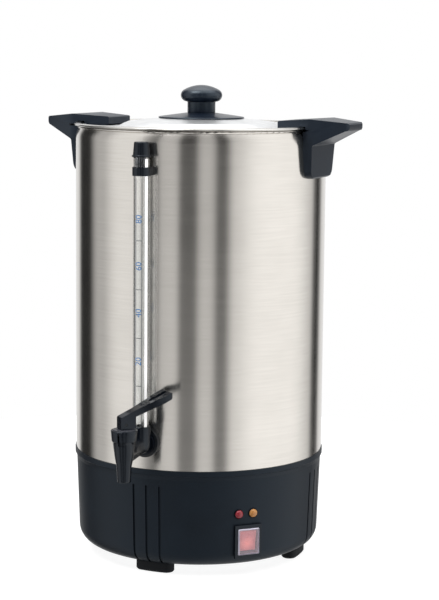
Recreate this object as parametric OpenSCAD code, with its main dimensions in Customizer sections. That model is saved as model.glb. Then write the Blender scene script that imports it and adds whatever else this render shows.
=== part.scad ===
// Counter-top coffee urn: double-walled steel vessel on a moulded base, with a lever tap,
// a sight gauge, two bracket handles, a domed lid and a percolator set inside.
// Millimetres, +Z up, origin on the counter under the middle of the urn, tap towards -Y.

/* [Vessel] */
// Outside diameter of the steel shell
body_d = 260; // [200:1:320]
// Height of the rim bead's centre above the counter
rim_z = 450; // [380:1:540]
// Sheet thickness of the shell and the tank
sheet_t = 1; // [0.8:0.1:1.5]
// Radial gap between the shell and the tank
wall_gap = 8; // [6:0.5:14]
// Radius of the rolled bead on the rim
bead_r = 3.2; // [2.8:0.1:4]

/* [Base] */
// Height of the moulded base without its feet
base_h = 100; // [80:1:130]
// Height of the feet under the base
foot_h = 10; // [8:0.5:16]
// Wall of the moulded base
base_wall = 3; // [2.5:0.1:4]
// Half the angle that one foot spans
foot_half_angle = 11; // [8:0.1:14]
// Angle from the front to a side foot
side_foot_az = 94; // [85:1:100]
// Radial depth of a foot
foot_depth = 16; // [14:0.5:18]

/* [Handles] */
// Half width of a handle at its ridge
handle_half_w = 35; // [28:0.5:40]
// Reach of a handle beyond the shell
handle_reach = 39.8; // [30:0.1:50]
// Reach of the tongue inwards from the shell
tongue_reach = 35; // [30:0.5:40]
// Length of the leg below the rim bead's centre
leg_drop = 52; // [44:1:70]

/* [Lid] */
// Rise of the lid's dome above its flat edge
dome_rise = 10.6; // [8:0.1:14]
// Diameter of the knob
knob_d = 43; // [36:0.2:50]
// Diameter of the disc under the knob
knob_disc_d = 89; // [70:1:110]

/* [Gauge] */
// Outside diameter of the gauge tube
gauge_d = 16; // [14:0.5:17]
// Bore of the gauge tube
gauge_bore = 12; // [8:0.5:12.5]
// Distance from the shell to the gauge tube's axis
gauge_off = 11.5; // [11.5:0.1:14]
// Distance from the rim bead's centre down to the top of the gauge cap
gauge_cap_drop = 13.3; // [10:0.1:40]

/* [Tap] */
// Height of the tap's shank above the base's top
tap_rise = 28; // [24:0.5:40]
// Distance from the shell to the spout's axis
spout_off = 48; // [46:0.5:60]
// Length of the lever from the spout's axis
lever_len = 47; // [36:0.5:52]
// Direction of the lever at rest, from straight back towards +X
lever_az = 42; // [38:1:180]
// Lift of the valve for one radian of lever travel
cam_arm = 6.5; // [5:0.1:6.8]

/* [Controls] */
// Direction of the switch panel, from the tap towards +X
panel_az = 47; // [32:1:60]
// Width of the switch bezel
bezel_w = 29; // [27:0.5:33]
// Height of the switch bezel
bezel_h = 34; // [32:0.5:38]
// Diameter of an indicator lamp
lamp_d = 10.4; // [8:0.1:13]

/* [Percolator] */
// Diameter of the coffee basket
basket_d = 170; // [120:1:190]
// Height of the coffee basket
basket_h = 75; // [50:1:90]
// Outside diameter of the pump tube
tube_d = 10; // [8:0.5:12]

/* [Hidden] */
$fn = 96;

// Common clearances
run_gap = 0.05;
seat_gap = 0.3;

// Shell and tank
shell_r = body_d / 2;
tank_r = shell_r - sheet_t - wall_gap;
rim_wall_r = shell_r - 4.4;
bead_c = rim_wall_r + bead_r;
ledge_z = rim_z - 4.4;
tank_floor_z = foot_h + base_h + 7;
tank_corner = 12;
tank_hole_r = 9.3;
well_r = 23;
well_depth = 9;
shoulder_h = 10;
shoulder_in = 2.3;
shoulder_r = (shoulder_in * shoulder_in + shoulder_h * shoulder_h) / (2 * shoulder_in);
curl_r = 1.1;
shell_foot_z = foot_h + base_h - 5;
flange_in = 10;

// Base
base_top = foot_h + base_h;
lip_r = shell_r + 1;
lip_h = 6;
skirt_top_r = shell_r - 0.8;
skirt_low_r = shell_r - 3.4;
skirt_round = 16;
plate_r = shell_r - 26.3;
plate_t = 1.5;
flange_t = 3;
floor_in_r = shell_r - 34;
screw_ring_r = shell_r - 30.5;
shelf_t = 3.4;
groove_w = 2.4;
groove_deep = 1.5;
groove_pitch = 6.4;
groove_top = base_top - 18;
skirt_panel_r = skirt_low_r + 0.6;
foot_out_r = shell_r - 15;
foot_az = [0, side_foot_az, 180, 360 - side_foot_az];
foot_mid_r = foot_out_r - foot_depth / 2;
foot_screw_r = foot_mid_r - 0.5;
foot_arc = foot_half_angle - asin(foot_depth / 2 / foot_mid_r);
foot_edge = 1.5;
m4_r = 2;
m4_head_r = 3.8;
m4_head_h = 2.4;

// Handles
ridge_x = shell_r + 3.5;
ridge_z = rim_z + 8;
grip_end_x = shell_r + handle_reach;
grip_end_top = ridge_z - 3.7;
grip_end_h = 7.6;
grip_end_half = handle_half_w * 0.62;
tongue_x = shell_r - tongue_reach;
tongue_top = ridge_z - 2.5;
tongue_half = handle_half_w * 0.71;
tongue_under = rim_z - 0.4;
leg_top_x = shell_r + 5.4;
leg_low_x = shell_r + 3.8;
leg_top_z = rim_z - 18;
leg_low_z = rim_z - leg_drop;
leg_low_half = handle_half_w - 4;
leg_corner = 10;
stop_rib_w = 5;
stop_rib_low = ledge_z + 0.3;
handle_screw_z = [leg_low_z + 12, leg_low_z + 29];
handle_screw_in = 2.4;

// Lid
lid_t = 0.8;
lid_flat_z = ledge_z + lid_t;
lid_r = rim_wall_r - 1.6;
lid_roll = 1.2;
dome_r = shell_r * 0.585;
dome_foot_r = tongue_x - 6;
dome_drop = 5.4;
dome_top = lid_flat_z + dome_rise;
dome_R = (dome_r * dome_r + dome_drop * dome_drop) / (2 * dome_drop);
notch_gap = 2.5;
disc_r = knob_disc_d / 2;
disc_edge_t = 1.6;
neck_r = 14.5;
neck_z = dome_top + 3.9;
knob_r = knob_d / 2;
knob_bulge = 6.5;
knob_bulge_z = neck_z + 18;
knob_top = neck_z + 28.6;
knob_c = knob_r - knob_bulge;
knob_u = (knob_c * knob_c - pow(knob_top - knob_bulge_z - knob_bulge, 2))
    / (2 * (knob_top - knob_bulge_z - knob_bulge));
knob_R = knob_top - knob_bulge_z + knob_u;
knob_tangent = knob_c * knob_R / (knob_R - knob_bulge);

// Gauge
gauge_y = shell_r + gauge_off;
gauge_r = gauge_d / 2;
gauge_cap_top = rim_z - gauge_cap_drop;
gauge_cap_h = 15;
gauge_top = gauge_cap_top - gauge_cap_h;
cap_flange_h = 2.2;
clamp_h = 8.4;
clamp_z = gauge_top - 18;
clamp_band = 1;

// Tap
tap_z = base_top + tap_rise;
spout_y = shell_r + spout_off;
shank_r = 9;
shank_bore = 5.5;
flange_r = 12.2;
flange_y0 = shell_r + 4;
flange_y1 = shell_r + 8;
barrel_r = 8.2;
socket_r = gauge_r + 2;
socket_top = tap_z + 18.3;
gauge_foot = tap_z + 8.5;
cup_top = tap_z + 21.3;
cup_r = 13.1;
bonnet_r = 9.55;
bonnet_low = tap_z + 5.5;
bonnet_top = tap_z + 17;
collar_r = 11.2;
collar_t = 5;
lever_low = bonnet_top + collar_t;
pin_z = lever_low + 5;
pin_r = 1.5;
stem_r = 2.5;
valve_stroke = 2.8;
blade_t = 4;
blade_w = 7;
seat_z = tap_z - 10;
plug_r = 6.2;
plug_top = tap_z - 6;
spring_top = tap_z + 12;
lever_root_w = 11.4;
lever_tip_w = 24;
lever_corner = 3;
lever_back = 5.4;
lever_front = 10.2;
lever_pitch = 24;
lever_t = 6.6;
heel_arc = 25;

// Controls
panel_r = skirt_panel_r;
lamp_az = panel_az - 1;
switch_z = foot_h + 26.5;
lamp_z = foot_h + 55;
lamp_spread = 15.4;
rocker_w = 19;
rocker_h = 23;
gland_z = foot_h + 30;
gland_bore = 3.75;

// Percolator
pump_foot_z = tank_floor_z - well_depth;
basket_r = basket_d / 2;
basket_top = ledge_z - 22;
basket_z = basket_top - basket_h;
tube_r = tube_d / 2;
washer_r = 8.5;
washer_t = 0.8;

// Points of an arc about (cx, cy)
function arc(cx, cy, r, a0, a1, n) =
    [for (i = [0:n]) let (a = a0 + (a1 - a0) * i / n) [cx + r * cos(a), cy + r * sin(a)]];

// Height of the lid's dome at radius r, and n + 1 points along it
function dome_at(r) = dome_top - dome_R + sqrt(dome_R * dome_R - r * r);
function dome_points(r0, r1, n) =
    [for (i = [0:n]) let (r = r0 + (r1 - r0) * i / n) [r, dome_at(r)]];

// The same list the other way round
function flip(p) = [for (i = [len(p) - 1:-1:0]) p[i]];

// The same list lowered by t
function sunk(p, t) = [for (q = p) [q[0], q[1] - t]];

// Half width of a handle's plan at distance x from the urn's axis
function handle_half(x) = x < ridge_x
    ? tongue_half + (handle_half_w - tongue_half) * (x - tongue_x) / (ridge_x - tongue_x)
    : handle_half_w + (grip_end_half - handle_half_w) * (x - ridge_x) / (grip_end_x - ridge_x);

// Turns a piece drawn at the tap's side to angle a from the tap towards +X
module at_az(a) { rotate([0, 0, a]) children(); }

// Upright tube or solid rod
module rod(r, z0, z1) { translate([0, 0, z0]) cylinder(r = r, h = z1 - z0); }

module ring(r_out, r_in, z0, z1) {
    difference() {
        rod(r_out, z0, z1);
        rod(r_in, z0 - 1, z1 + 1);
    }
}

// Rod along the radius on the tap's side, from distance y0 to distance y1 at height z
module spoke(r, y0, y1, z) {
    translate([0, -y0, z]) rotate([90, 0, 0]) cylinder(r = r, h = y1 - y0);
}

// Pan-head screw, head down at z, threaded end up
module screw_up(r, head_r, head_h, len) {
    rod(head_r, -head_h, 0);
    rod(r, -0.1, len);
}

module inner_tank() {
    color("silver") difference() {
        rotate_extrude() {
            // straight wall, and the ledge that carries the lid
            translate([tank_r - sheet_t, tank_floor_z + tank_corner])
                square([sheet_t, ledge_z - tank_floor_z - tank_corner]);
            translate([tank_r - sheet_t, ledge_z - sheet_t])
                square([rim_wall_r + sheet_t - tank_r + sheet_t, sheet_t]);
            translate([rim_wall_r, ledge_z - sheet_t])
                square([sheet_t, rim_z - ledge_z + sheet_t]);
            // rolled bead, open underneath where the shell's edge is tucked in
            difference() {
                translate([bead_c, rim_z]) circle(r = bead_r);
                translate([bead_c, rim_z]) circle(r = bead_r - sheet_t);
                translate([rim_wall_r - 1, rim_z - bead_r - 1])
                    square([bead_r + 1.4, bead_r + 1]);
            }
            // rounded corner, floor and pump well
            intersection() {
                difference() {
                    translate([tank_r - tank_corner, tank_floor_z - sheet_t + tank_corner])
                        circle(r = tank_corner);
                    translate([tank_r - tank_corner, tank_floor_z - sheet_t + tank_corner])
                        circle(r = tank_corner - sheet_t);
                }
                translate([tank_r - tank_corner, tank_floor_z - sheet_t])
                    square([tank_corner, tank_corner + sheet_t]);
            }
            translate([tank_r - sheet_t, tank_floor_z - sheet_t + tank_corner])
                square([sheet_t, sheet_t]);
            translate([well_r, tank_floor_z - sheet_t])
                square([tank_r - tank_corner - well_r, sheet_t]);
            translate([well_r, pump_foot_z - sheet_t]) square([sheet_t, well_depth]);
            translate([0, pump_foot_z - sheet_t]) square([well_r + sheet_t, sheet_t]);
        }
        spoke(tank_hole_r, tank_r - 20, tank_r + 2, tap_z);
    }
}

module outer_shell() {
    color("lightgray") difference() {
        rotate_extrude() {
            translate([shell_r - sheet_t, shell_foot_z])
                square([sheet_t, rim_z - bead_r - 2 * curl_r - shoulder_h - shell_foot_z]);
            // shoulder drawn in under the rim
            intersection() {
                difference() {
                    translate([shell_r - shoulder_r, rim_z - bead_r - 2 * curl_r - shoulder_h])
                        circle(r = shoulder_r);
                    translate([shell_r - shoulder_r, rim_z - bead_r - 2 * curl_r - shoulder_h])
                        circle(r = shoulder_r - sheet_t);
                }
                translate([shell_r - shoulder_in - 2, rim_z - bead_r - 2 * curl_r - shoulder_h])
                    square([shoulder_in + 2, shoulder_h]);
            }
            // curled top edge against the tank's rim wall
            translate([rim_wall_r + sheet_t + curl_r, rim_z - bead_r - curl_r])
                circle(r = curl_r);
            translate([shell_r - shoulder_in - sheet_t, rim_z - bead_r - 2 * curl_r - 0.4])
                square([sheet_t, curl_r]);
            // foot flange turned in
            translate([shell_r - flange_in, shell_foot_z]) square([flange_in, sheet_t]);
        }
        spoke(tank_hole_r, shell_r - 3, shell_r + 2, tap_z);
        spoke(1.7, shell_r - 3, shell_r + 2, clamp_z + clamp_h / 2);
        for (side = [-90, 90])
            for (z = handle_screw_z) at_az(side) spoke(m4_r + 0.1, shell_r - 3, shell_r + 2, z);
        for (a = [45:90:315])
            at_az(a) translate([0, -(shell_r - 6), 0])
                rod(m4_r + 0.1, shell_foot_z - 1, shell_foot_z + 2);
    }
}

// Outer outline of the base as a solid of revolution, grown by g
module base_envelope(g = 0) {
    rotate_extrude() polygon(concat(
        [[0, base_top], [lip_r + g, base_top], [lip_r + g, base_top - lip_h + 0.8]],
        [[lip_r - 0.8 + g, base_top - lip_h]],
        [[skirt_top_r + g, base_top - lip_h - 4]],
        arc(skirt_low_r - skirt_round, foot_h + skirt_round, skirt_round + g, 0, -90, 10),
        [[0, foot_h - g]]));
}

// Three upright grooves above one foot, cut to an even depth in the sloping skirt
module base_grooves() {
    difference() {
        for (a = [-groove_pitch, 0, groove_pitch]) at_az(a) {
            translate([-groove_w / 2, -lip_r - 2, foot_h - 2])
                cube([groove_w, lip_r - plate_r, groove_top - foot_h + 2]);
            translate([0, -lip_r - 2, groove_top]) rotate([-90, 0, 0])
                cylinder(r = groove_w / 2, h = lip_r - plate_r);
        }
        base_envelope(-groove_deep);
    }
}

module base_housing() {
    color("#22252c") difference() {
        union() {
            difference() {
                base_envelope();
                for (a = foot_az) at_az(a) base_grooves();
                // hollow inside, leaving the wall, the shelf and the bottom flange
                rotate_extrude() polygon([
                    [0, foot_h + plate_t + flange_t], [skirt_low_r - 13, foot_h + plate_t + flange_t],
                    [skirt_low_r - base_wall, foot_h + skirt_round],
                    [skirt_top_r - base_wall, shell_foot_z - shelf_t - 6],
                    [shell_r - flange_in - 1, shell_foot_z - shelf_t],
                    [shell_r - flange_in - 1, shell_foot_z + 20], [0, shell_foot_z + 20]]);
                rod(shell_r + run_gap, shell_foot_z, base_top + 1);
                rod(floor_in_r, foot_h - 1, foot_h + 10);
                rod(plate_r + 0.2, foot_h - 1, foot_h + plate_t);
            }
            // bosses for the plate's screws and the feet's screws
            for (a = [45:90:315]) at_az(a) translate([0, -screw_ring_r, 0])
                rod(4.2, foot_h + plate_t, foot_h + 16);
            for (a = foot_az) at_az(a) translate([0, -foot_screw_r, 0])
                rod(4.2, foot_h + plate_t, foot_h + 16);
        }
        for (a = [45:90:315]) at_az(a) translate([0, -screw_ring_r, 0])
            rod(m4_r + run_gap, foot_h - 1, foot_h + 14);
        for (a = foot_az) at_az(a) translate([0, -foot_screw_r, 0])
            rod(m4_r + run_gap, foot_h - 1, foot_h + 14);
        for (a = [45:90:315]) at_az(a) translate([0, -(shell_r - 6), 0])
            rod(m4_r + 0.1, shell_foot_z - shelf_t - 1, shell_foot_z + 1);
        for (a = [45:90:315]) at_az(a) translate([0, -(shell_r - 6), 0])
            rod(m4_head_r, shell_foot_z - shelf_t - 12, shell_foot_z - shelf_t);
        // seat and window of the switch, and the lamps' holes
        at_az(panel_az) {
            translate([-bezel_w / 2 - 0.2, -shell_r - 5, switch_z - bezel_h / 2 - 0.2])
                cube([bezel_w + 0.4, shell_r + 5 - panel_r + 1, bezel_h + 0.4]);
            translate([-rocker_w / 2 - 1.6, -shell_r, switch_z - rocker_h / 2 - 1.6])
                cube([rocker_w + 3.2, 20, rocker_h + 3.2]);
        }
        at_az(lamp_az) for (s = [-1, 1]) translate([s * lamp_spread / 2, 0, 0])
            spoke(lamp_d / 2 - 0.6, panel_r - 12, shell_r + 3, lamp_z);
        at_az(lamp_az) for (s = [-1, 1]) translate([s * lamp_spread / 2, 0, 0])
            spoke(lamp_d / 2 + run_gap, panel_r, shell_r + 3, lamp_z);
        at_az(180) spoke(6.5, panel_r - 12, shell_r + 3, gland_z);
    }
}

module base_plate() {
    color("gray") difference() {
        rod(plate_r, foot_h, foot_h + plate_t);
        for (a = [45:90:315]) at_az(a) translate([0, -screw_ring_r, 0])
            rod(m4_r + 0.1, foot_h - 1, foot_h + plate_t + 1);
        // cooling slots
        for (a = [0:15:345]) at_az(a) translate([-1.5, -78, foot_h - 1]) cube([3, 24, plate_t + 2]);
        for (x = [-block_screw_x, block_screw_x]) translate([x, block_y, 0])
            rod(1.6, foot_h - 1, foot_h + plate_t + 1);
        translate([-36, block_y, 0]) rod(m4_r + 0.1, foot_h - 1, foot_h + plate_t + 1);
    }
}

module base_plate_screws() {
    color("lightgray") for (a = [45:90:315])
        at_az(a) translate([0, -screw_ring_r, foot_h]) screw_up(m4_r, m4_head_r, m4_head_h, 12);
}

module shell_screws() {
    color("lightgray") for (a = [45:90:315])
        at_az(a) translate([0, -(shell_r - 6), shell_foot_z - shelf_t])
            screw_up(m4_r, m4_head_r - 0.6, m4_head_h, shelf_t + 4);
}

// One foot: an arc-shaped pad with round ends that follows the base's rounded bottom edge
module foot(a) {
    color("#17191e") at_az(a) difference() {
        union() {
            rotate([0, 0, -90 - foot_arc]) rotate_extrude(angle = 2 * foot_arc) polygon([
                [foot_mid_r - foot_depth / 2 + foot_edge, 0], [foot_out_r - foot_edge, 0],
                [foot_out_r, foot_edge], [foot_out_r, foot_h + 6],
                [foot_mid_r - foot_depth / 2, foot_h + 6], [foot_mid_r - foot_depth / 2, foot_edge]]);
            for (s = [-1, 1]) at_az(s * foot_arc) translate([0, -foot_mid_r, 0]) {
                cylinder(r1 = foot_depth / 2 - foot_edge, r2 = foot_depth / 2, h = foot_edge);
                rod(foot_depth / 2, foot_edge, foot_h + 6);
            }
        }
        base_envelope();
        translate([0, -foot_screw_r, 0]) {
            rod(m4_head_r + 1, -1, 4);
            rod(m4_r + 0.1, -1, foot_h + 2);
        }
    }
}

module foot_screws() {
    color("lightgray") for (a = foot_az)
        at_az(a) translate([0, -foot_screw_r, 4]) screw_up(m4_r, m4_head_r, m4_head_h, foot_h + 6);
}

// Right-hand handle: side outline cut to the plan's hexagon, with the slot for the rim bead
module handle() {
    difference() {
        intersection() {
            // side outline, drawn along X and Z
            translate([0, handle_half_w + 2, 0]) rotate([90, 0, 0])
                linear_extrude(height = 2 * handle_half_w + 4) polygon([
                    [tongue_x, tongue_under + 0.8], [tongue_x, tongue_top - 1],
                    [tongue_x + 1.2, tongue_top], [ridge_x, ridge_z],
                    [grip_end_x - 1.5, grip_end_top + 0.1], [grip_end_x, grip_end_top - 1.4],
                    [grip_end_x, grip_end_top - grip_end_h + 2],
                    [grip_end_x - 1.6, grip_end_top - grip_end_h],
                    [leg_top_x + 1.5, leg_top_z + 0.4], [leg_top_x, leg_top_z - 1],
                    [leg_low_x, leg_low_z + 1.5], [leg_low_x - 1.5, leg_low_z],
                    [shell_r - 14, leg_low_z], [shell_r - 14, tongue_under],
                    [tongue_x + 0.8, tongue_under]]);
            // six-sided plan
            translate([0, 0, leg_low_z - 1]) linear_extrude(height = leg_drop + 20) polygon([
                [tongue_x - 1, -handle_half(tongue_x - 1)],
                [ridge_x, -handle_half_w], [grip_end_x - 3, -handle_half(grip_end_x - 3)],
                [grip_end_x + 1, -grip_end_half + 3], [grip_end_x + 1, grip_end_half - 3],
                [grip_end_x - 3, handle_half(grip_end_x - 3)], [ridge_x, handle_half_w],
                [tongue_x - 1, handle_half(tongue_x - 1)]]);
            // front outline, narrowing down the leg to round corners
            translate([tongue_x - 2, 0, 0]) rotate([90, 0, 90])
                linear_extrude(height = grip_end_x - tongue_x + 4) polygon(concat(
                    [[-handle_half_w - 1, ridge_z + 1], [-handle_half_w - 1, leg_top_z + 14],
                        [-handle_half_w + 1.5, leg_top_z], [-leg_low_half, leg_low_z + leg_corner]],
                    arc(-leg_low_half + leg_corner, leg_low_z + leg_corner, leg_corner, 180, 270, 8),
                    arc(leg_low_half - leg_corner, leg_low_z + leg_corner, leg_corner, 270, 360, 8),
                    [[handle_half_w - 1.5, leg_top_z], [handle_half_w + 1, leg_top_z + 14],
                        [handle_half_w + 1, ridge_z + 1]]));
        }
        // seat on the shell and its drawn-in shoulder
        rod(shell_r + run_gap, leg_low_z - 5, rim_z - bead_r - 2 * curl_r - shoulder_h / 2);
        rod(shell_r + run_gap - shoulder_in / 4, leg_low_z, rim_z - 3);
        // slot that takes the rim bead, and the space over the lid's edge
        rotate_extrude() translate([rim_wall_r - 1.2, ledge_z - 4])
            square([bead_r * 2 + 1.6, rim_z + bead_r + run_gap - ledge_z + 4]);
        rotate_extrude() translate([rim_wall_r, rim_z - 4.4]) square([bead_r * 2 + 9, 2]);
        rod(rim_wall_r - 1.19, leg_low_z, tongue_under);
        for (z = handle_screw_z) at_az(90) spoke(m4_r + run_gap, shell_r - 3, shell_r + handle_screw_in + 0.4, z);
    }
    // stop rib that the lid's notch turns against
    intersection() {
        translate([tongue_x + 4, 0, stop_rib_low]) linear_extrude(height = 10) polygon([
            [0, handle_half(tongue_x + 4) - stop_rib_w],
            [rim_wall_r - 6 - tongue_x, handle_half(rim_wall_r - 2) - stop_rib_w],
            [rim_wall_r - 6 - tongue_x, handle_half(rim_wall_r - 2)],
            [0, handle_half(tongue_x + 4)]]);
        rod(rim_wall_r - 2, stop_rib_low, tongue_under + 1);
    }
}

module handle_right() { color("#22252c") handle(); }

module handle_left() { color("#22252c") rotate([0, 0, 180]) handle(); }

module handle_screws() {
    color("lightgray") for (side = [-90, 90]) at_az(side) for (z = handle_screw_z) {
        spoke(m4_head_r, shell_r - sheet_t - m4_head_h - 0.1, shell_r - sheet_t - 0.06, z);
        spoke(m4_r, shell_r - sheet_t - 1, shell_r + handle_screw_in, z);
    }
}

module gauge_tube() {
    color("white", 0.4) translate([0, -gauge_y, 0])
        ring(gauge_r, gauge_bore / 2, gauge_foot, gauge_top);
}

module gauge_seal() {
    color("dimgray") translate([0, -gauge_y, 0])
        ring(gauge_r, gauge_bore / 2, gauge_foot - 2.5, gauge_foot);
}

module gauge_cap() {
    color("#1b1d22") translate([0, -gauge_y, 0]) difference() {
        rotate_extrude() polygon(concat(
            [[0, gauge_top - 9], [gauge_bore / 2 - run_gap, gauge_top - 9],
                [gauge_bore / 2 - run_gap, gauge_top], [gauge_r + 0.5, gauge_top]],
            arc(gauge_r + 0.5, gauge_top + cap_flange_h / 2, cap_flange_h / 2, -90, 90, 6),
            [[gauge_r + 0.4, gauge_top + cap_flange_h]],
            arc(gauge_r - 2, gauge_cap_top - 1.4, 1.4, 0, 90, 4),
            [[0, gauge_cap_top]]));
        rod(1, gauge_top - 10, gauge_cap_top + 1);
        rod(gauge_bore / 2 - 1.6, gauge_top - 10, gauge_cap_top - 3);
    }
}

// Band round the gauge tube with a stem that seats on the shell
module gauge_clamp() {
    color("#1b1d22") difference() {
        union() {
            translate([0, -gauge_y, 0]) rod(gauge_r + clamp_band, clamp_z, clamp_z + clamp_h);
            translate([-7, -gauge_y, clamp_z]) cube([14, gauge_y - shell_r + 6, clamp_h]);
        }
        translate([0, -gauge_y, 0]) rod(gauge_r + run_gap, clamp_z - 1, clamp_z + clamp_h + 1);
        rod(shell_r + run_gap, clamp_z - 1, clamp_z + clamp_h + 1);
        spoke(1.5 + run_gap, shell_r - 2, gauge_y, clamp_z + clamp_h / 2);
    }
}

module gauge_clamp_screw() {
    color("lightgray") {
        spoke(2.8, shell_r - sheet_t - 1.9, shell_r - sheet_t - 0.04, clamp_z + clamp_h / 2);
        spoke(1.5, shell_r - sheet_t - 1, gauge_y - gauge_r - 0.6, clamp_z + clamp_h / 2);
    }
}

// Tap body in one moulding: shank, flange, gauge socket and spout cup
module tap_body() {
    color("#1f2229") difference() {
        union() {
            spoke(shank_r, tank_r - 20, flange_y0 + 1, tap_z);
            spoke(flange_r, flange_y0, flange_y1, tap_z);
            spoke(barrel_r, flange_y0, spout_y, tap_z);
            translate([0, -gauge_y, 0]) {
                rod(socket_r, tap_z, socket_top - 1.2);
                translate([0, 0, socket_top - 1.2])
                    cylinder(r1 = socket_r, r2 = socket_r - 0.8, h = 1.2);
                translate([0, 0, tap_z]) sphere(r = socket_r);
            }
            // web under the barrel
            translate([-2, -spout_y, tap_z]) rotate([90, 0, 90]) linear_extrude(height = 4)
                polygon([[0, -14.5], [0, 0], [spout_y - flange_y1 + 1, 0], [spout_y - flange_y1 + 1, -9.6]]);
            // spout cup
            translate([0, -spout_y, 0]) rotate_extrude() polygon([[0, tap_z - 30.5],
                [6.3, tap_z - 30.5], [6.8, tap_z - 30], [7.4, tap_z - 15], [9, tap_z - 7],
                [11.3, tap_z + 10], [12.2, tap_z + 10.6], [cup_r, cup_top - 0.6],
                [cup_r - 0.5, cup_top], [0, cup_top]]);
        }
        // water way from the tank to the gauge and to the cup
        spoke(shank_bore, tank_r - 21, spout_y, tap_z);
        translate([0, -gauge_y, 0]) {
            rod(shank_bore, tap_z, socket_top);
            rod(gauge_r + run_gap, gauge_foot - 2.5, socket_top + 1);
        }
        // cup: collar seat, bonnet bore, valve chamber with its seat, and the outlet
        translate([0, -spout_y, 0]) {
            rod(collar_r + seat_gap, bonnet_top, cup_top + 1);
            rod(bonnet_r + run_gap, bonnet_low, bonnet_top + 0.1);
            rotate_extrude() polygon([[0, bonnet_low + 0.1], [bonnet_r - 0.6, bonnet_low + 0.1],
                [bonnet_r - 0.6, bonnet_low], [7.4, tap_z - 6], [7, seat_z - 1], [5.6, seat_z - 1],
                [5.6, seat_z], [4.5, seat_z], [4.5, seat_z - 4], [5.3, seat_z - 6],
                [5.2, tap_z - 32], [0, tap_z - 32]]);
            bayonet_slots();
        }
        rod(shell_r + 0.01, tap_z + shank_r + 4, socket_top + 5);
    }
}

// Two L-shaped slots in the cup, one at the front and one at the back
module bayonet_slots() {
    for (a = [0, 180]) rotate([0, 0, a]) {
        translate([-1, -cup_r - 1, bonnet_low + 1.2]) cube([2, 6, cup_top - bonnet_low - 3]);
        rotate([0, 0, -91]) rotate_extrude(angle = 34)
            translate([bonnet_r - 0.4, bonnet_low + 1]) square([6, 4.4]);
    }
}

module tap_gasket() {
    color("gainsboro") difference() {
        spoke(flange_r - 0.4, shell_r - 3, flange_y0, tap_z);
        spoke(shank_r + run_gap, shell_r - 4, flange_y0 + 1, tap_z);
        rod(shell_r + 2 * run_gap, tap_z - 20, tap_z + 20);
        translate([0, -gauge_y, 0]) {
            rod(socket_r + run_gap, tap_z, socket_top);
            translate([0, 0, tap_z]) sphere(r = socket_r + run_gap);
        }
    }
}

module tap_spacer() {
    color("gainsboro") difference() {
        spoke(flange_r - 1, tank_r - 3, shell_r, tap_z);
        spoke(shank_r + run_gap, tank_r - 4, shell_r + 1, tap_z);
        rod(tank_r + run_gap, tap_z - 20, tap_z + 20);
        difference() {
            rod(shell_r + 10, tap_z - 20, tap_z + 20);
            rod(shell_r - sheet_t - run_gap, tap_z - 21, tap_z + 21);
        }
    }
}

module tap_inner_washer() {
    color("gainsboro") difference() {
        intersection() {
            spoke(flange_r - 1, tank_r - sheet_t - 4, tank_r, tap_z);
            rod(tank_r - sheet_t, tap_z - 20, tap_z + 20);
        }
        spoke(shank_r + run_gap, tank_r - 10, tank_r + 1, tap_z);
    }
}

module tap_nut() {
    nut_y = tank_r - sheet_t - 4;
    color("silver") difference() {
        translate([0, -nut_y, tap_z]) rotate([-90, 0, 0]) cylinder(r = 14, h = 6, $fn = 6);
        spoke(shank_r + run_gap, nut_y - 8, nut_y + 1, tap_z);
    }
}

// Insert that closes the cup, locked by two lugs in the L-shaped slots
module tap_bonnet() {
    color("#2b2e35") translate([0, -spout_y, 0]) difference() {
        union() {
            rod(bonnet_r, bonnet_low, bonnet_top);
            for (a = [0, 180]) rotate([0, 0, a - 91 + 22]) rotate_extrude(angle = 11)
                translate([bonnet_r - 1, bonnet_low + 1.6]) square([2.4, 3.2]);
        }
        rod(stem_r + run_gap, bonnet_low - 1, bonnet_top + 1);
        rod(6.4, bonnet_low - 1, spring_top);
    }
}

// Wear ring that turns with the lever; its slot keeps the stem's blade in line
module tap_collar() {
    color("#3a3d44") translate([0, -spout_y, 0]) rotate([0, 0, 90 - lever_az]) difference() {
        rod(collar_r, bonnet_top, bonnet_top + collar_t);
        translate([-blade_w / 2 - run_gap, -blade_t / 2 - run_gap, bonnet_top - 1])
            cube([blade_w + 2 * run_gap, blade_t + 2 * run_gap, collar_t + 2]);
    }
}

// Valve stem: round through the bonnet, flat blade with an eye at the top
module tap_stem() {
    color("silver") translate([0, -spout_y, 0]) rotate([0, 0, 90 - lever_az]) difference() {
        union() {
            rod(stem_r, plug_top - 3, bonnet_top - valve_stroke - 0.3);
            rod(blade_t / 2, bonnet_top - valve_stroke - 1, bonnet_top + 0.6);
            translate([-blade_w / 2, -blade_t / 2, bonnet_top + 0.2])
                cube([blade_w, blade_t, pin_z - bonnet_top - 0.2]);
            translate([0, blade_t / 2, pin_z]) rotate([90, 0, 0]) cylinder(r = blade_w / 2, h = blade_t);
        }
        translate([0, blade_t, pin_z]) rotate([90, 0, 0])
            cylinder(r = pin_r + run_gap, h = 2 * blade_t);
    }
}

module tap_plug() {
    color("tomato") translate([0, -spout_y, 0]) difference() {
        rotate_extrude() polygon([[0, seat_z], [plug_r, seat_z], [plug_r, seat_z + 1.4],
            [plug_r - 1.6, plug_top], [0, plug_top]]);
        rod(stem_r, plug_top - 3, plug_top + 1);
    }
}

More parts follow.
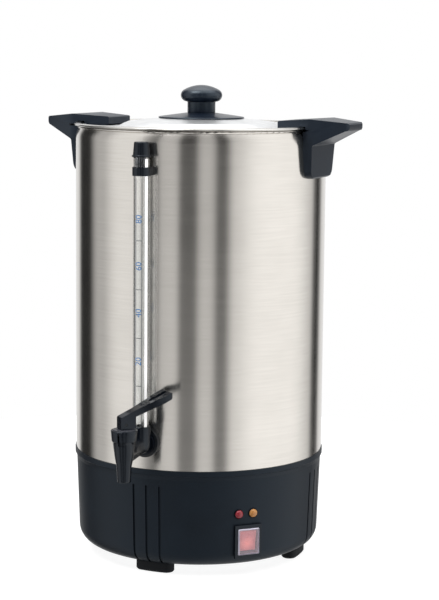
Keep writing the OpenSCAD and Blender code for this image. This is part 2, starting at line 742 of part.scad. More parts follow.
// Closing spring between the plug and the bonnet
module tap_spring() {
    turns = 6;
    steps = 8;
    sides = 6;
    wire = 0.45;
    coil_r = 4.4;
    z0 = plug_top + wire;
    z1 = spring_top - wire;
    n = turns * steps;
    ring_at = function (i) let (a = 360 * i / steps, z = z0 + (z1 - z0) * i / n)
        [for (j = [0:sides - 1]) let (b = 360 * j / sides)
            [(coil_r + wire * cos(b)) * cos(a), (coil_r + wire * cos(b)) * sin(a), z + wire * sin(b)]];
    pts = [for (i = [0:n]) each ring_at(i)];
    faces = concat(
        [for (i = [0:n - 1]) for (j = [0:sides - 1]) let (k = (j + 1) % sides)
            each [[i * sides + j, (i + 1) * sides + j, (i + 1) * sides + k],
                [i * sides + j, (i + 1) * sides + k, i * sides + k]]],
        [[for (j = [0:sides - 1]) j]],
        [[for (j = [sides - 1:-1:0]) n * sides + j]]);
    color("silver") translate([0, -spout_y, 0]) polyhedron(points = pts, faces = faces);
}

// Half width of the lever's plan at distance x from the stem
function lever_half(x) = lookup(x / lever_len, [[lever_front / lever_len, lever_root_w / 2],
    [0.55, lever_tip_w * 0.36], [0.8, lever_tip_w / 2], [1, lever_tip_w * 0.47]]);

// Paddle lever with a forked root; its heel rolls on the collar and lifts the stem
module tap_lever() {
    rise = tan(lever_pitch);
    top_z = lever_low + 12;
    tip_z = top_z + (lever_len + lever_back) * rise;
    color("#1f2229") translate([0, -spout_y, 0]) rotate([0, 0, 90 - lever_az]) difference() {
        intersection() {
            translate([0, lever_tip_w / 2 + 1, 0]) rotate([90, 0, 0])
                linear_extrude(height = lever_tip_w + 2) polygon(concat(
                    [[-lever_back, lever_low + 0.8], [-lever_back + 0.8, lever_low]],
                    arc(cam_arm, pin_z, pin_z - lever_low, -90, -90 + heel_arc, 4),
                    [[lever_front, lever_low + 1.3],
                        [lever_front, top_z + (lever_back + lever_front) * rise - lever_t],
                        [lever_len - 2, tip_z - 2 * rise - lever_t]],
                    arc(lever_len - 2, tip_z - lever_t + 1.4, 2, -60, 0, 3),
                    arc(lever_len - 2, tip_z - 2.8, 2, 0, 110, 4),
                    [[-lever_back + 1, top_z + 1.2 * rise], [-lever_back, top_z - 0.8]]));
            // plan: square root, flaring to a paddle with round corners
            translate([0, 0, lever_low - 1]) linear_extrude(height = 50) polygon(concat(
                [[-lever_back, lever_root_w / 2], [-lever_back, -lever_root_w / 2]],
                [for (u = [lever_front, 0.4 * lever_len, 0.55 * lever_len, 0.7 * lever_len,
                    0.8 * lever_len]) [u, -lever_half(u)]],
                arc(lever_len - lever_corner, -lever_half(lever_len) + lever_corner, lever_corner, -80, 0, 5),
                arc(lever_len - lever_corner, lever_half(lever_len) - lever_corner, lever_corner, 0, 80, 5),
                [for (u = [0.8 * lever_len, 0.7 * lever_len, 0.55 * lever_len, 0.4 * lever_len,
                    lever_front]) [u, lever_half(u)]]));
        }
        // fork slot for the stem's blade, and the pin's hole
        translate([-4.2, -blade_t / 2 - 0.2, lever_low - 1]) cube([10.6, blade_t + 0.4, 10.6]);
        translate([0, lever_root_w, pin_z]) rotate([90, 0, 0])
            cylinder(r = pin_r, h = 2 * lever_root_w);
        // finger recess in the paddle
        translate([lever_len * 0.74, 0, top_z + (lever_len * 0.74 + lever_back) * rise])
            rotate([0, -lever_pitch, 0]) {
                translate([-6.5, -3.6, -1.3]) cube([13, 7.2, 6]);
                for (x = [-6.5, 6.5]) translate([x, 0, -1.3]) cylinder(r = 3.6, h = 6);
            }
    }
}

module tap_pin() {
    color("silver") translate([0, -spout_y, 0]) rotate([0, 0, 90 - lever_az])
        translate([0, lever_root_w / 2 - 0.2, pin_z]) rotate([90, 0, 0])
            cylinder(r = pin_r, h = lever_root_w - 0.4);
}

heat_r = 50;
sheath_r = 4;
heat_plate_t = 4;
heat_low = tank_floor_z - sheet_t - heat_plate_t;

module heater_plate() {
    color("lightgray") difference() {
        ring(72, well_r + sheet_t + 2, heat_low, tank_floor_z - sheet_t);
        rotate_extrude() translate([heat_r, heat_low - sheath_r + 1.5]) circle(r = sheath_r + run_gap);
    }
}

module heating_element() {
    color("gray") {
        rotate([0, 0, 105]) rotate_extrude(angle = 330)
            translate([heat_r, heat_low - sheath_r + 1.5]) circle(r = sheath_r);
        for (a = [105, 75]) rotate([0, 0, a]) translate([heat_r, 0, 0]) {
            rod(sheath_r - 0.6, heat_low - 22, heat_low - sheath_r);
            rod(1.4, heat_low - 30, heat_low - 21);
        }
    }
}

sensor_x = 16;
sensor_y = 92;
sensor_low = tank_floor_z - sheet_t - 7;

// Button sensor: flanged can pressed against the tank's floor
module sensor_can() {
    rod(9, sensor_low + 2.2, tank_floor_z - sheet_t);
    rod(7.2, sensor_low - 6, sensor_low + 2.3);
    for (x = [-4, 4]) translate([x - 0.4, -3, sensor_low - 13]) cube([0.8, 6, 8]);
}

module thermostat() { color("#8a6d3b") translate([-sensor_x, sensor_y, 0]) sensor_can(); }

module thermal_cutout() { color("#3c3c3c") translate([sensor_x, sensor_y, 0]) sensor_can(); }

module sensor_bracket() {
    color("silver") difference() {
        translate([-sensor_x - 11, sensor_y - 11, sensor_low + 1]) cube([2 * sensor_x + 22, 22, 1.2]);
        for (x = [-sensor_x, sensor_x]) translate([x, sensor_y, 0])
            rod(7.4, sensor_low, sensor_low + 3);
        for (y = [-8, 8]) translate([0, sensor_y + y, 0]) rod(2.1, sensor_low, sensor_low + 3);
    }
}

module sensor_studs() {
    color("silver") for (y = [-8, 8]) translate([0, sensor_y + y, 0])
        rod(2, sensor_low - 4, tank_floor_z - sheet_t);
}

module sensor_nuts() {
    color("silver") for (y = [-8, 8]) translate([0, sensor_y + y, sensor_low - 2]) difference() {
        cylinder(r = 3.9, h = 3, $fn = 6);
        translate([0, 0, -1]) cylinder(r = 2, h = 5);
    }
}

block_y = 34;
block_pitch = 13;
block_post = 8;
block_screw_x = block_pitch / 2;
plate_top = foot_h + plate_t;

module terminal_block() {
    color("ivory") difference() {
        union() {
            translate([-20, block_y - 9, plate_top]) cube([40, 18, 6]);
            for (i = [-1:1]) translate([i * block_pitch - block_post / 2, block_y - 8, plate_top])
                cube([block_post, 16, 15]);
        }
        for (i = [-1:1]) {
            translate([i * block_pitch, block_y - 10, plate_top + 9.5]) rotate([-90, 0, 0])
                cylinder(r = 2.2, h = 20);
            for (y = [-4.5, 4.5]) translate([i * block_pitch, block_y + y, 0])
                rod(1.6, plate_top + 9, plate_top + 16);
        }
        for (x = [-block_screw_x, block_screw_x]) translate([x, block_y, 0])
            rod(1.55, plate_top - 1, plate_top + 7);
    }
}

module terminal_screws() {
    color("silver") for (x = [-block_screw_x, block_screw_x]) translate([x, block_y, plate_top + 6]) {
        rod(1.5, -plate_t - 6, 0.1);
        rod((block_pitch - block_post) / 2 - 0.1, 0, 1.8);
    }
}

module earth_stud() {
    color("gold") translate([-36, block_y, 0]) {
        rod(m4_r, foot_h - 0.5, plate_top + 12);
        rod(m4_head_r, foot_h - 2.4, foot_h);
        translate([0, 0, plate_top]) cylinder(r = 4, h = 3.2, $fn = 6);
    }
}

// Switch body: bezel outside the skirt, box behind it
module switch_housing() {
    color("#1b1d22") at_az(panel_az) difference() {
        union() {
            translate([-bezel_w / 2, -panel_r - 2.6, switch_z - bezel_h / 2])
                cube([bezel_w, 2.6, bezel_h]);
            translate([-rocker_w / 2 - 1.5, -panel_r, switch_z - rocker_h / 2 - 1.5])
                cube([rocker_w + 3, 20, rocker_h + 3]);
            for (z = [-8, 0, 8]) translate([-3, -panel_r + 19, switch_z + z - 0.4]) cube([6, 9, 0.8]);
        }
        translate([-rocker_w / 2 - 0.3, -panel_r - 4, switch_z - rocker_h / 2 - 0.3])
            cube([rocker_w + 0.6, 16, rocker_h + 0.6]);
        translate([-bezel_w / 2 + 3.1, -panel_r - 3, switch_z - bezel_h / 2 + 3.7])
            cube([bezel_w - 6.2, 1.6, bezel_h - 7.4]);
        translate([-rocker_w / 2 - 2, -panel_r + rocker_axis, switch_z]) rotate([0, 90, 0])
            cylinder(r = 1.55, h = rocker_w + 4);
    }
}

rocker_axis = 3.5;
rocker_tilt = 8;

// Rocker with its own trunnions, shown pressed at the bottom
module switch_rocker() {
    color("crimson") at_az(panel_az) translate([0, -panel_r + rocker_axis, switch_z])
        rotate([rocker_tilt, 0, 0]) {
            translate([-rocker_w / 2, 0, 0]) rotate([90, 0, 90]) linear_extrude(height = rocker_w)
                polygon([[3.5, -4], [3.5, 4], [-0.5, rocker_h / 2 - 0.9], [-2.6, rocker_h / 2 - 1.2],
                    [-2.2, 0], [-2.6, -rocker_h / 2 + 1.2], [-0.5, -rocker_h / 2 + 0.9]]);
            translate([-rocker_w / 2 - 1.3, 0, 0]) rotate([0, 90, 0])
                cylinder(r = 1.5, h = rocker_w + 2.6);
        }
}

// Clear splash cover clipped into the bezel's recess
module switch_boot() {
    cover_w = bezel_w - 6.4;
    cover_h = bezel_h - 7.6;
    color("mistyrose", 0.5) at_az(panel_az) difference() {
        translate([-cover_w / 2, -panel_r - 4.6, switch_z - cover_h / 2])
            cube([cover_w, 3.2, cover_h]);
        translate([-cover_w / 2 + 1, -panel_r - 4, switch_z - cover_h / 2 + 1])
            cube([cover_w - 2, 3, cover_h - 2]);
    }
}

// Neon indicator: domed lens outside, barrel through the skirt
module lamp() {
    translate([0, -panel_r - 1.2, lamp_z]) rotate([90, 0, 0]) rotate_extrude() intersection() {
        translate([0, -5]) circle(r = lamp_d / 2 + 2.6);
        square([lamp_d / 2, 6]);
    }
    spoke(lamp_d / 2, panel_r, panel_r + 1.21, lamp_z);
    spoke(lamp_d / 2 - 0.7, panel_r - 16, panel_r + 0.2, lamp_z);
    for (x = [-2, 2]) translate([x - 0.3, -panel_r + 15, lamp_z - 1.5]) cube([0.6, 8, 3]);
}

module red_lamp() {
    color("red") at_az(lamp_az) translate([-lamp_spread / 2, 0, 0]) lamp();
}

module amber_lamp() {
    color("orange") at_az(lamp_az) translate([lamp_spread / 2, 0, 0]) lamp();
}

// Bushing for the supply lead at the back of the base
module cord_gland() {
    color("#17191e") at_az(180) difference() {
        union() {
            spoke(9, panel_r - 4, panel_r + 5, gland_z);
            spoke(6.4, panel_r - 12, panel_r, gland_z);
            spoke(8.4, panel_r - 9, panel_r - 4.9, gland_z);
        }
        spoke(gland_bore, panel_r - 14, panel_r + 8, gland_z);
        difference() {
            base_envelope(run_gap);
            rod(panel_r - 3.6, foot_h, base_top);
            spoke(6.5, panel_r - 12, shell_r + 3, gland_z);
        }
    }
}

// Domed lid with two notches that clear the handles' tongues
module lid() {
    top = concat(dome_points(0, disc_r, 4), dome_points(disc_r + 5, dome_r, 6),
        [[dome_foot_r - 7, lid_flat_z + 2.7], [dome_foot_r - 3, lid_flat_z + 0.7],
            [dome_foot_r, lid_flat_z]]);
    color("whitesmoke") difference() {
        rotate_extrude() polygon(concat(sunk(top, lid_t),
            arc(lid_r - lid_roll, lid_flat_z - lid_t + lid_roll, lid_roll, -90, 200, 10), flip(top)));
        for (a = [0, 180]) rotate([0, 0, a]) translate([0, 0, ledge_z - 2]) linear_extrude(height = 8)
            polygon([[tongue_x - 2.5, -tongue_half - notch_gap],
                [shell_r, -handle_half(shell_r) - notch_gap], [shell_r, handle_half(shell_r) + notch_gap],
                [tongue_x - 2.5, tongue_half + notch_gap]]);
        rod(3.1, dome_top - 5, dome_top + 5);
    }
}

module knob_disc() {
    color("#22252c") difference() {
        rotate_extrude() polygon(concat(dome_points(0, disc_r, 4),
            [[disc_r, dome_at(disc_r) + disc_edge_t], [neck_r + 4, neck_z - 0.3],
                [neck_r, neck_z], [0, neck_z]]));
        rod(3.1, dome_top - 5, neck_z + 1);
    }
}

module lid_knob() {
    color("#22252c") difference() {
        rotate_extrude() {
            translate([0, neck_z]) square([neck_r, knob_bulge_z - neck_z]);
            translate([knob_c, knob_bulge_z]) circle(r = knob_bulge);
            translate([0, knob_bulge_z - 2]) square([knob_c, 6]);
            intersection() {
                translate([0, knob_bulge_z - knob_u]) circle(r = knob_R);
                translate([0, knob_bulge_z]) square([knob_tangent, 20]);
            }
        }
        rod(3 + run_gap, neck_z - 1, neck_z + 16);
    }
}

module knob_screw() {
    color("silver") {
        rod(6, dome_top - lid_t - 3.1, dome_top - lid_t - 0.1);
        rod(3, dome_top - lid_t - 1, neck_z + 14);
    }
}

// Pump foot that stands in the well: flared bell, inlet slots and the washer's chamber
module pump_base() {
    color("silver") difference() {
        rotate_extrude() polygon([[0, pump_foot_z], [well_r - 1.5, pump_foot_z],
            [well_r - 1.5, pump_foot_z + 2], [13, pump_foot_z + 4], [11.5, pump_foot_z + 8],
            [tube_r + 2, pump_foot_z + 14], [tube_r + 2, pump_foot_z + 26], [0, pump_foot_z + 26]]);
        rod(5.5, pump_foot_z - 1, pump_foot_z + 3);
        rod(washer_r + 0.6, pump_foot_z + 2.4, pump_foot_z + 7);
        translate([0, 0, pump_foot_z + 6.99]) cylinder(r1 = washer_r + 0.6, r2 = tube_r - 1, h = 5);
        rod(tube_r - 1, pump_foot_z + 11, pump_foot_z + 27);
        rod(tube_r, pump_foot_z + 16, pump_foot_z + 27);
        for (a = [0:60:300]) rotate([0, 0, a]) translate([3, -1.5, pump_foot_z - 1])
            cube([well_r, 3, 2.2]);
    }
}

module pump_washer() {
    color("lightgray") difference() {
        rod(washer_r, pump_foot_z + 2.4, pump_foot_z + 2.4 + washer_t);
        rod(1, pump_foot_z, pump_foot_z + 5);
    }
}

module pump_tube() {
    color("silver") {
        ring(tube_r, tube_r - 1, pump_foot_z + 16, basket_top + 9);
        ring(tube_r + 3, tube_r - 0.5, basket_z - 3, basket_z);
    }
}

module coffee_basket() {
    hub_r = tube_r + run_gap + 0.25;
    color("silver") difference() {
        union() {
            ring(basket_r, basket_r - 0.9, basket_z, basket_top);
            ring(basket_r, hub_r, basket_z, basket_z + 0.9);
            ring(hub_r + 1.2, hub_r, basket_z, basket_top - 6);
            rotate_extrude() translate([basket_r + 0.6, basket_top - 1.2]) circle(r = 1.2);
        }
        for (k = [0:3]) let (pr = 22 + k * (basket_r - 34) / 3, n = 10 + k * 8)
            for (i = [0:n - 1]) rotate([0, 0, i * 360 / n + k * 7]) translate([pr, 0, 0])
                rod(1.3, basket_z - 1, basket_z + 2);
    }
}

module basket_cover() {
    color("silver") difference() {
        union() {
            ring(basket_r + 1.6, tube_r + seat_gap, basket_top, basket_top + 0.9);
            ring(basket_r - 1.3, basket_r - 2.3, basket_top - 6, basket_top + 0.5);
            ring(basket_r + 1.6, basket_r + 0.7, basket_top, basket_top + 3);
        }
        for (k = [0:2]) let (pr = 26 + k * (basket_r - 40) / 2, n = 8 + k * 8)
            for (i = [0:n - 1]) rotate([0, 0, i * 360 / n + k * 5]) translate([pr, 0, 0])
                rod(1.6, basket_top - 1, basket_top + 2);
    }
}

inner_tank();
outer_shell();
base_housing();
base_plate();
base_plate_screws();
shell_screws();
foot(foot_az[0]);  // foot_front
foot(foot_az[1]);  // foot_right
foot(foot_az[2]);  // foot_back
foot(foot_az[3]);  // foot_left
foot_screws();
handle_left();
handle_right();
handle_screws();
gauge_tube();
gauge_cap();
gauge_clamp();
gauge_clamp_screw();
gauge_seal();
tap_body();
tap_gasket();
tap_spacer();
tap_inner_washer();
tap_nut();
tap_bonnet();
tap_collar();
tap_stem();
tap_plug();
tap_spring();
tap_lever();
tap_pin();
heater_plate();
heating_element();
thermostat();
thermal_cutout();
sensor_bracket();
sensor_studs();
sensor_nuts();
terminal_block();
terminal_screws();
earth_stud();
switch_housing();
switch_rocker();
switch_boot();
red_lamp();
amber_lamp();
cord_gland();
lid();
knob_disc();
lid_knob();
knob_screw();
pump_base();
pump_tube();
pump_washer();
coffee_basket();
basket_cover();
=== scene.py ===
from math import cos, hypot, pi, radians, sin, sqrt

import bmesh
import bpy
from mathutils import Matrix, Vector


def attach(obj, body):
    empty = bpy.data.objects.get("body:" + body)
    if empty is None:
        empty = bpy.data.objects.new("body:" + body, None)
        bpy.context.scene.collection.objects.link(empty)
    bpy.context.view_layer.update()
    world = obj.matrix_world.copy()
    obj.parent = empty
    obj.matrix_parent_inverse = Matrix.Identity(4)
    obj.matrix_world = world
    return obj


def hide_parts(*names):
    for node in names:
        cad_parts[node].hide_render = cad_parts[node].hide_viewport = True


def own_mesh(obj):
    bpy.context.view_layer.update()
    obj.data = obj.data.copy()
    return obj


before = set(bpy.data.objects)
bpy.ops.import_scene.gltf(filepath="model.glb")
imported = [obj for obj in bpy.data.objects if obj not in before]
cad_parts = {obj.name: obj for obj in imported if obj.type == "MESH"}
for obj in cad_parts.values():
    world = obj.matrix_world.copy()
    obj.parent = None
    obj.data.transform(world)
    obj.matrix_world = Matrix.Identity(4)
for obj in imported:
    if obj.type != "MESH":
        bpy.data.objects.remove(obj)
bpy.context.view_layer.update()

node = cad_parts

# View
# The urn is seen from the right of its tap and from a little above the lid,
# through a long lens nearly two metres away, so that its sides stay almost upright.
turn, dip, tilt = radians(23.4), radians(7.92), radians(0.538)
camera_place = Vector((0.7506, -1.6826, 0.5209))
film_height, focal_length = 36, 105.9
aside = Vector((cos(turn), sin(turn), 0))
ahead = Vector((-sin(turn) * cos(dip), cos(turn) * cos(dip), -sin(dip)))
above = aside.cross(ahead)
optics = bpy.data.cameras.new("long_lens")
optics.sensor_fit = "VERTICAL"
optics.sensor_height = film_height
optics.sensor_width = film_height
optics.lens = focal_length


def placed(name, held):
    """A new object in the scene that holds a camera, a light, a curve or a mesh."""
    made = bpy.data.objects.new(name, held)
    bpy.context.collection.objects.link(made)
    return made


camera = placed("camera", optics)
axes = Matrix((aside * cos(tilt) + above * sin(tilt), above * cos(tilt) - aside * sin(tilt), -ahead))
camera.matrix_world = Matrix.Translation(camera_place) @ axes.transposed().to_4x4()
bpy.context.scene.camera = camera


# Studio
# A white floor and backdrop. The steel mirrors two broad soft boxes, two narrow
# strips and the dark gaps between them, which run from floor to ceiling.
def add(tree, kind, inputs=(), **settings):
    """One node. Its inputs are values or other nodes' outputs, by the socket's name or number."""
    made = tree.nodes.new(kind)
    for key, value in settings.items():
        setattr(made, key, value)
    for key, value in dict(inputs).items():
        if isinstance(value, bpy.types.NodeSocket):
            tree.links.new(value, made.inputs[key])
        else:
            made.inputs[key].default_value = value
    return made


def seen_plainly(tree):
    """1 for the camera and what it sees through clear parts, 0 for a ray that has met gloss."""
    rays = add(tree, "ShaderNodeLightPath").outputs
    direct = add(tree, "ShaderNodeMath", {0: rays["Glossy Depth"], 1: 0.5}, operation="LESS_THAN").outputs[0]
    clear = add(tree, "ShaderNodeMath", {0: rays["Is Transmission Ray"], 1: direct},
        operation="MULTIPLY").outputs[0]
    return add(tree, "ShaderNodeMath", {0: rays["Is Camera Ray"], 1: clear}, operation="MAXIMUM").outputs[0]


studio = bpy.data.worlds.new("studio")
studio.use_nodes = True
sky = studio.node_tree
sky.nodes.clear()
towards = add(sky, "ShaderNodeTexCoord").outputs["Generated"]
height = add(sky, "ShaderNodeSeparateXYZ", {0: towards}).outputs["Z"]
level = add(sky, "ShaderNodeVectorMath", {0: towards, 1: (1, 1, 0)}, operation="MULTIPLY").outputs[0]
level = add(sky, "ShaderNodeVectorMath", {0: level}, operation="NORMALIZE").outputs[0]


def soft_box(at, half, soft, bright=1.0):
    """A box's light: degrees from the tap towards +X, half its width, its soft edge, its brightness."""
    middle = (sin(radians(at)), -cos(radians(at)), 0)
    facing = add(sky, "ShaderNodeVectorMath", {0: level, 1: middle}, operation="DOT_PRODUCT").outputs["Value"]
    return add(sky, "ShaderNodeMapRange", {"Value": facing, "From Min": cos(radians(half + soft)),
        "From Max": cos(radians(max(half - soft, 0))), "To Max": bright},
        interpolation_type="SMOOTHSTEP").outputs[0]


# the lit ceiling is mirrored only by what faces well upwards
ceiling = add(sky, "ShaderNodeMapRange", {"Value": height, "From Min": 0.61, "From Max": 0.84,
    "To Min": 0.03, "To Max": 1.7}, interpolation_type="SMOOTHSTEP").outputs[0]
# the white table before the urn comes up into the steel's dark gaps, more so lower down
table = add(sky, "ShaderNodeMapRange", {"Value": height, "From Min": -0.04, "From Max": -0.24,
    "To Min": 0.04, "To Max": 0.3}).outputs[0]
table = add(sky, "ShaderNodeMath", {0: table, 1: soft_box(30, 38.5, 23.5)}, operation="MULTIPLY").outputs[0]
glow = add(sky, "ShaderNodeMath", {0: ceiling, 1: table}, operation="ADD").outputs[0]
# two broad boxes with brighter cores, left and right, two strips between them and a box behind
for box in ((-60.6, 30, 8, 0.62), (-44.6, 18, 14, 0.5), (-5.1, 9, 3, 0.64), (29.4, 6, 5, 0.6),
            (100.4, 50, 5, 0.78), (101.4, 24, 24, 0.6), (203.4, 34, 6, 0.9)):
    glow = add(sky, "ShaderNodeMath", {0: glow, 1: soft_box(*box)}, operation="ADD").outputs[0]
boxes = add(sky, "ShaderNodeBackground", {"Color": glow}).outputs[0]
backdrop = add(sky, "ShaderNodeBackground", {"Color": (1, 1, 1, 1)}).outputs[0]
# gloss sees the boxes, because a white surround would leave the steel without its bands
either = add(sky, "ShaderNodeMixShader", {0: seen_plainly(sky), 1: boxes, 2: backdrop}).outputs[0]
add(sky, "ShaderNodeOutputWorld", {"Surface": either})
bpy.context.scene.world = studio
bpy.context.scene.view_settings.view_transform = "Standard"

# the paper is matt and is lit up to the backdrop's white, less the urn's faint shadow
paper = bpy.data.materials.new("white_seamless_paper")
paper.use_nodes = True
tree = paper.node_tree
sheet = tree.nodes["Principled BSDF"]
sheet.inputs["Base Color"].default_value = (0.25, 0.25, 0.25, 1)
sheet.inputs["Roughness"].default_value = 0.9
sheet.inputs["Specular IOR Level"].default_value = 0.0
sheet.inputs["Emission Color"].default_value = (1, 1, 1, 1)
paper_glow = 0.88
lit = add(tree, "ShaderNodeMath", {0: seen_plainly(tree), 1: paper_glow}, operation="MULTIPLY").outputs[0]
tree.links.new(lit, sheet.inputs["Emission Strength"])
# gloss sees through the paper to the boxes, as if they ran on below the floor
glossy = add(tree, "ShaderNodeLightPath").outputs["Is Glossy Ray"]
open_paper = add(tree, "ShaderNodeBsdfTransparent").outputs[0]
either = add(tree, "ShaderNodeMixShader", {0: glossy, 1: sheet.outputs[0], 2: open_paper}).outputs[0]
tree.links.new(either, tree.nodes["Material Output"].inputs["Surface"])
floor_radius, floor_drop, floor_sides = 0.7, 0.0003, 96
floor_edge = []
for k in range(floor_sides):
    angle = 2 * pi * k / floor_sides
    floor_edge.append((floor_radius * cos(angle), floor_radius * sin(angle), -floor_drop))
flat = bpy.data.meshes.new("floor")
flat.from_pydata(floor_edge, [], [range(floor_sides)])
flat.materials.append(paper)
floor = placed("floor", flat)

# one soft panel overhead, on the left and in front, gives matt parts their shape
panel = bpy.data.lights.new("overhead_panel", "AREA")
panel.shape = "SQUARE"
panel.size = 1.2
panel.energy = 22
panel_place, panel_aim = Vector((-0.5, -0.9, 2.2)), Vector((0, 0, 0.3))
overhead = placed("overhead_panel", panel)
aim = (panel_place - panel_aim).to_track_quat("Z", "Y").to_matrix().to_4x4()
overhead.matrix_world = Matrix.Translation(panel_place) @ aim
overhead.visible_camera = False


# Inner tank
# Food-grade stainless steel, deep-drawn in one piece: the press leaves fine rings
# round the wall and floor. Its rolled rim is buffed bright and clasps the outer shell.
def linear(code):
    """A colour as hex digits turned to linear light."""
    parts = [int(code[k:k + 2], 16) / 255 for k in (0, 2, 4)]
    return [p / 12.92 if p <= 0.04045 else ((p + 0.055) / 1.055) ** 2.4 for p in parts] + [1]


def finish(name, dark, pale, grain, depth, rough, drawn=(1, 1, 1), **sockets):
    """A finish whose colour, roughness and relief follow one grain in mm, longer where drawn is under 1."""
    made = bpy.data.materials.new(name)
    made.use_nodes = True
    tree = made.node_tree
    skin = tree.nodes["Principled BSDF"]
    place = add(tree, "ShaderNodeTexCoord").outputs["Object"]
    along = add(tree, "ShaderNodeMapping", {"Vector": place, "Scale": drawn}).outputs[0]
    fine = add(tree, "ShaderNodeTexNoise", {"Vector": along, "Scale": 1000 / grain, "Detail": 3.0}).outputs[0]
    # clouds some 45 mm wide keep a large face from looking even
    broad = add(tree, "ShaderNodeTexNoise", {"Vector": place, "Scale": 22.0, "Detail": 2.0}).outputs[0]
    both = add(tree, "ShaderNodeMath", {0: fine, 1: broad}, operation="ADD").outputs[0]
    blend = add(tree, "ShaderNodeMapRange", {"Value": both, "From Min": 0.75, "From Max": 1.25}).outputs[0]
    shade = add(tree, "ShaderNodeMix", {0: blend, 6: linear(dark), 7: linear(pale)},
        data_type="RGBA").outputs[2]
    worn = add(tree, "ShaderNodeMapRange", {"Value": both, "From Min": 0.7, "From Max": 1.3,
        "To Min": rough[0], "To Max": rough[1]}).outputs[0]
    relief = add(tree, "ShaderNodeBump", {"Strength": 0.5, "Distance": depth / 1000,
        "Height": fine}).outputs[0]
    for socket, source in (("Base Color", shade), ("Roughness", worn), ("Normal", relief)):
        tree.links.new(source, skin.inputs[socket])
    for socket, value in sockets.items():
        skin.inputs[socket.replace("_", " ")].default_value = value
    return made


def coat(mesh, look):
    """Gives a mesh one finish."""
    mesh.materials.clear()
    mesh.materials.append(look)


def dress(look, *names):
    """Gives CAD pieces a finish."""
    for name in names:
        coat(node[name].data, look)


def creased(shape):
    """Smooth shading, broken where two faces meet at more than 32 degrees."""
    for face in shape.faces:
        face.smooth = True
    for edge in shape.edges:
        if len(edge.link_faces) == 2 and edge.calc_face_angle(0) > radians(32):
            edge.smooth = False


def copied(name, move=None):
    """A merged copy of a CAD piece's mesh as a new object, its points moved where move says."""
    source = node[name].data
    points = [move(v.co) if move else v.co for v in source.vertices]
    raw = bpy.data.meshes.new("shaped_" + name)
    raw.from_pydata(points, [], [list(p.vertices) for p in source.polygons])
    shape = bmesh.new()
    shape.from_mesh(raw)
    bmesh.ops.remove_doubles(shape, verts=shape.verts, dist=1e-6)
    creased(shape)
    shape.to_mesh(raw)
    shape.free()
    return placed("shaped_" + name, raw)


def baked(piece):
    """The mesh that a piece's modifiers give; they are taken off it."""
    sight = bpy.context.evaluated_depsgraph_get()
    sight.update()
    mesh = bpy.data.meshes.new_from_object(piece.evaluated_get(sight))
    piece.modifiers.clear()
    return mesh


def settled(piece, look, body, slot, *stands_for):
    """Turns a piece's modifiers into plain mesh, gives it its finish and sets it on its body."""
    piece.data = baked(piece)
    coat(piece.data, look)
    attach(piece, body)
    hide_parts(*stands_for)
    return piece


# the rings catch the light as fine hoops; they are finer than a pixel, so they are drawn 1.5 mm apart
drawn_steel = finish("deep_drawn_stainless_steel", "B4B2AE", "CCCAC6", 1.5, 0.01, (0.14, 0.22),
    (0.02, 0.02, 1), Metallic=1.0)
# the seaming roller presses the rim's roll to half its height
roll_low, roll_press = 0.4468, 0.5


def pressed(point):
    """Flattens what stands above the roll's lower edge."""
    if point.z <= roll_low:
        return point
    return Vector((point.x, point.y, roll_low + (point.z - roll_low) * roll_press))


settled(copied("inner_tank", pressed), drawn_steel, "vessel", "tank_steel", "inner_tank")


# Outer shell
# One sheet of stainless steel, rolled to a tube, welded at the back and brushed round
# and round with a belt. It stands in the base's lip and goes up under the tank's roll.

# the brushing stretches glints up and down and leaves the dark bands sharp; its lines
# are a tenth of a millimetre apart, so they are drawn 0.9 mm apart
brushed_steel = finish("brushed_stainless_steel", "C8C4BE", "CFCBC5", 0.9, 0.0015, (0.17, 0.2),
    (0.02, 0.02, 1), Metallic=1.0, Anisotropic=0.6, Anisotropic_Rotation=0.25)
tree = brushed_steel.node_tree
round_about = add(tree, "ShaderNodeTangent", direction_type="RADIAL", axis="Z").outputs[0]
tree.links.new(round_about, tree.nodes["Principled BSDF"].inputs["Tangent"])
dress(brushed_steel, "outer_shell")


# Base
# Black polypropylene, injection moulded with a fine spark-eroded texture that leaves
# it satin. The shell stands in its lip, screwed to an inner shelf from below.
def softened(name, width, look, body="vessel", slot="black_plastic", corner=38, move=None):
    """A CAD piece's shape, its edges over corner degrees rounded by width mm, as its mould leaves them."""
    piece = copied(name, move)
    shape = bmesh.new()
    shape.from_mesh(piece.data)
    bmesh.ops.dissolve_limit(shape, angle_limit=radians(1), verts=shape.verts, edges=shape.edges)
    for edge in shape.edges:
        edge.smooth = True
    shape.to_mesh(piece.data)
    shape.free()
    rounding = piece.modifiers.new("rounding", "BEVEL")
    rounding.width = width / 1000
    rounding.segments = 3
    rounding.limit_method = "ANGLE"
    rounding.angle_limit = radians(corner)
    rounding.harden_normals = True
    return settled(piece, look, body, slot, name)


# a blue-black satin without sharp glints; the 0.3 mm texture is drawn at 0.9 mm
satin_plastic = finish("spark_textured_polypropylene", "0E131A", "131A22", 0.9, 0.02, (0.42, 0.5),
    Specular_IOR_Level=0.26, Specular_Tint=(0.72, 0.86, 1, 1))
dress(satin_plastic, "base_housing")

# the plate that closes the base is zinc-plated steel, pale with a faint spangle
zinc = finish("zinc_plated_steel", "9FA3A8", "B9BCC0", 6, 0.01, (0.3, 0.42), Metallic=1.0)
dress(zinc, "base_plate")


# Feet
# Black thermoplastic rubber pads with round ends, made to grip a counter.
# Each is held by one screw up into a boss of the base.

# the rubber is dull and slightly uneven, so the feet read darker than the base
foot_rubber = finish("thermoplastic_rubber", "0C0E12", "15181D", 1.2, 0.05, (0.6, 0.72),
    Specular_IOR_Level=0.2)
for name in ("foot_front", "foot_right", "foot_back", "foot_left"):
    softened(name, 0.8, foot_rubber, slot="foot_rubber")


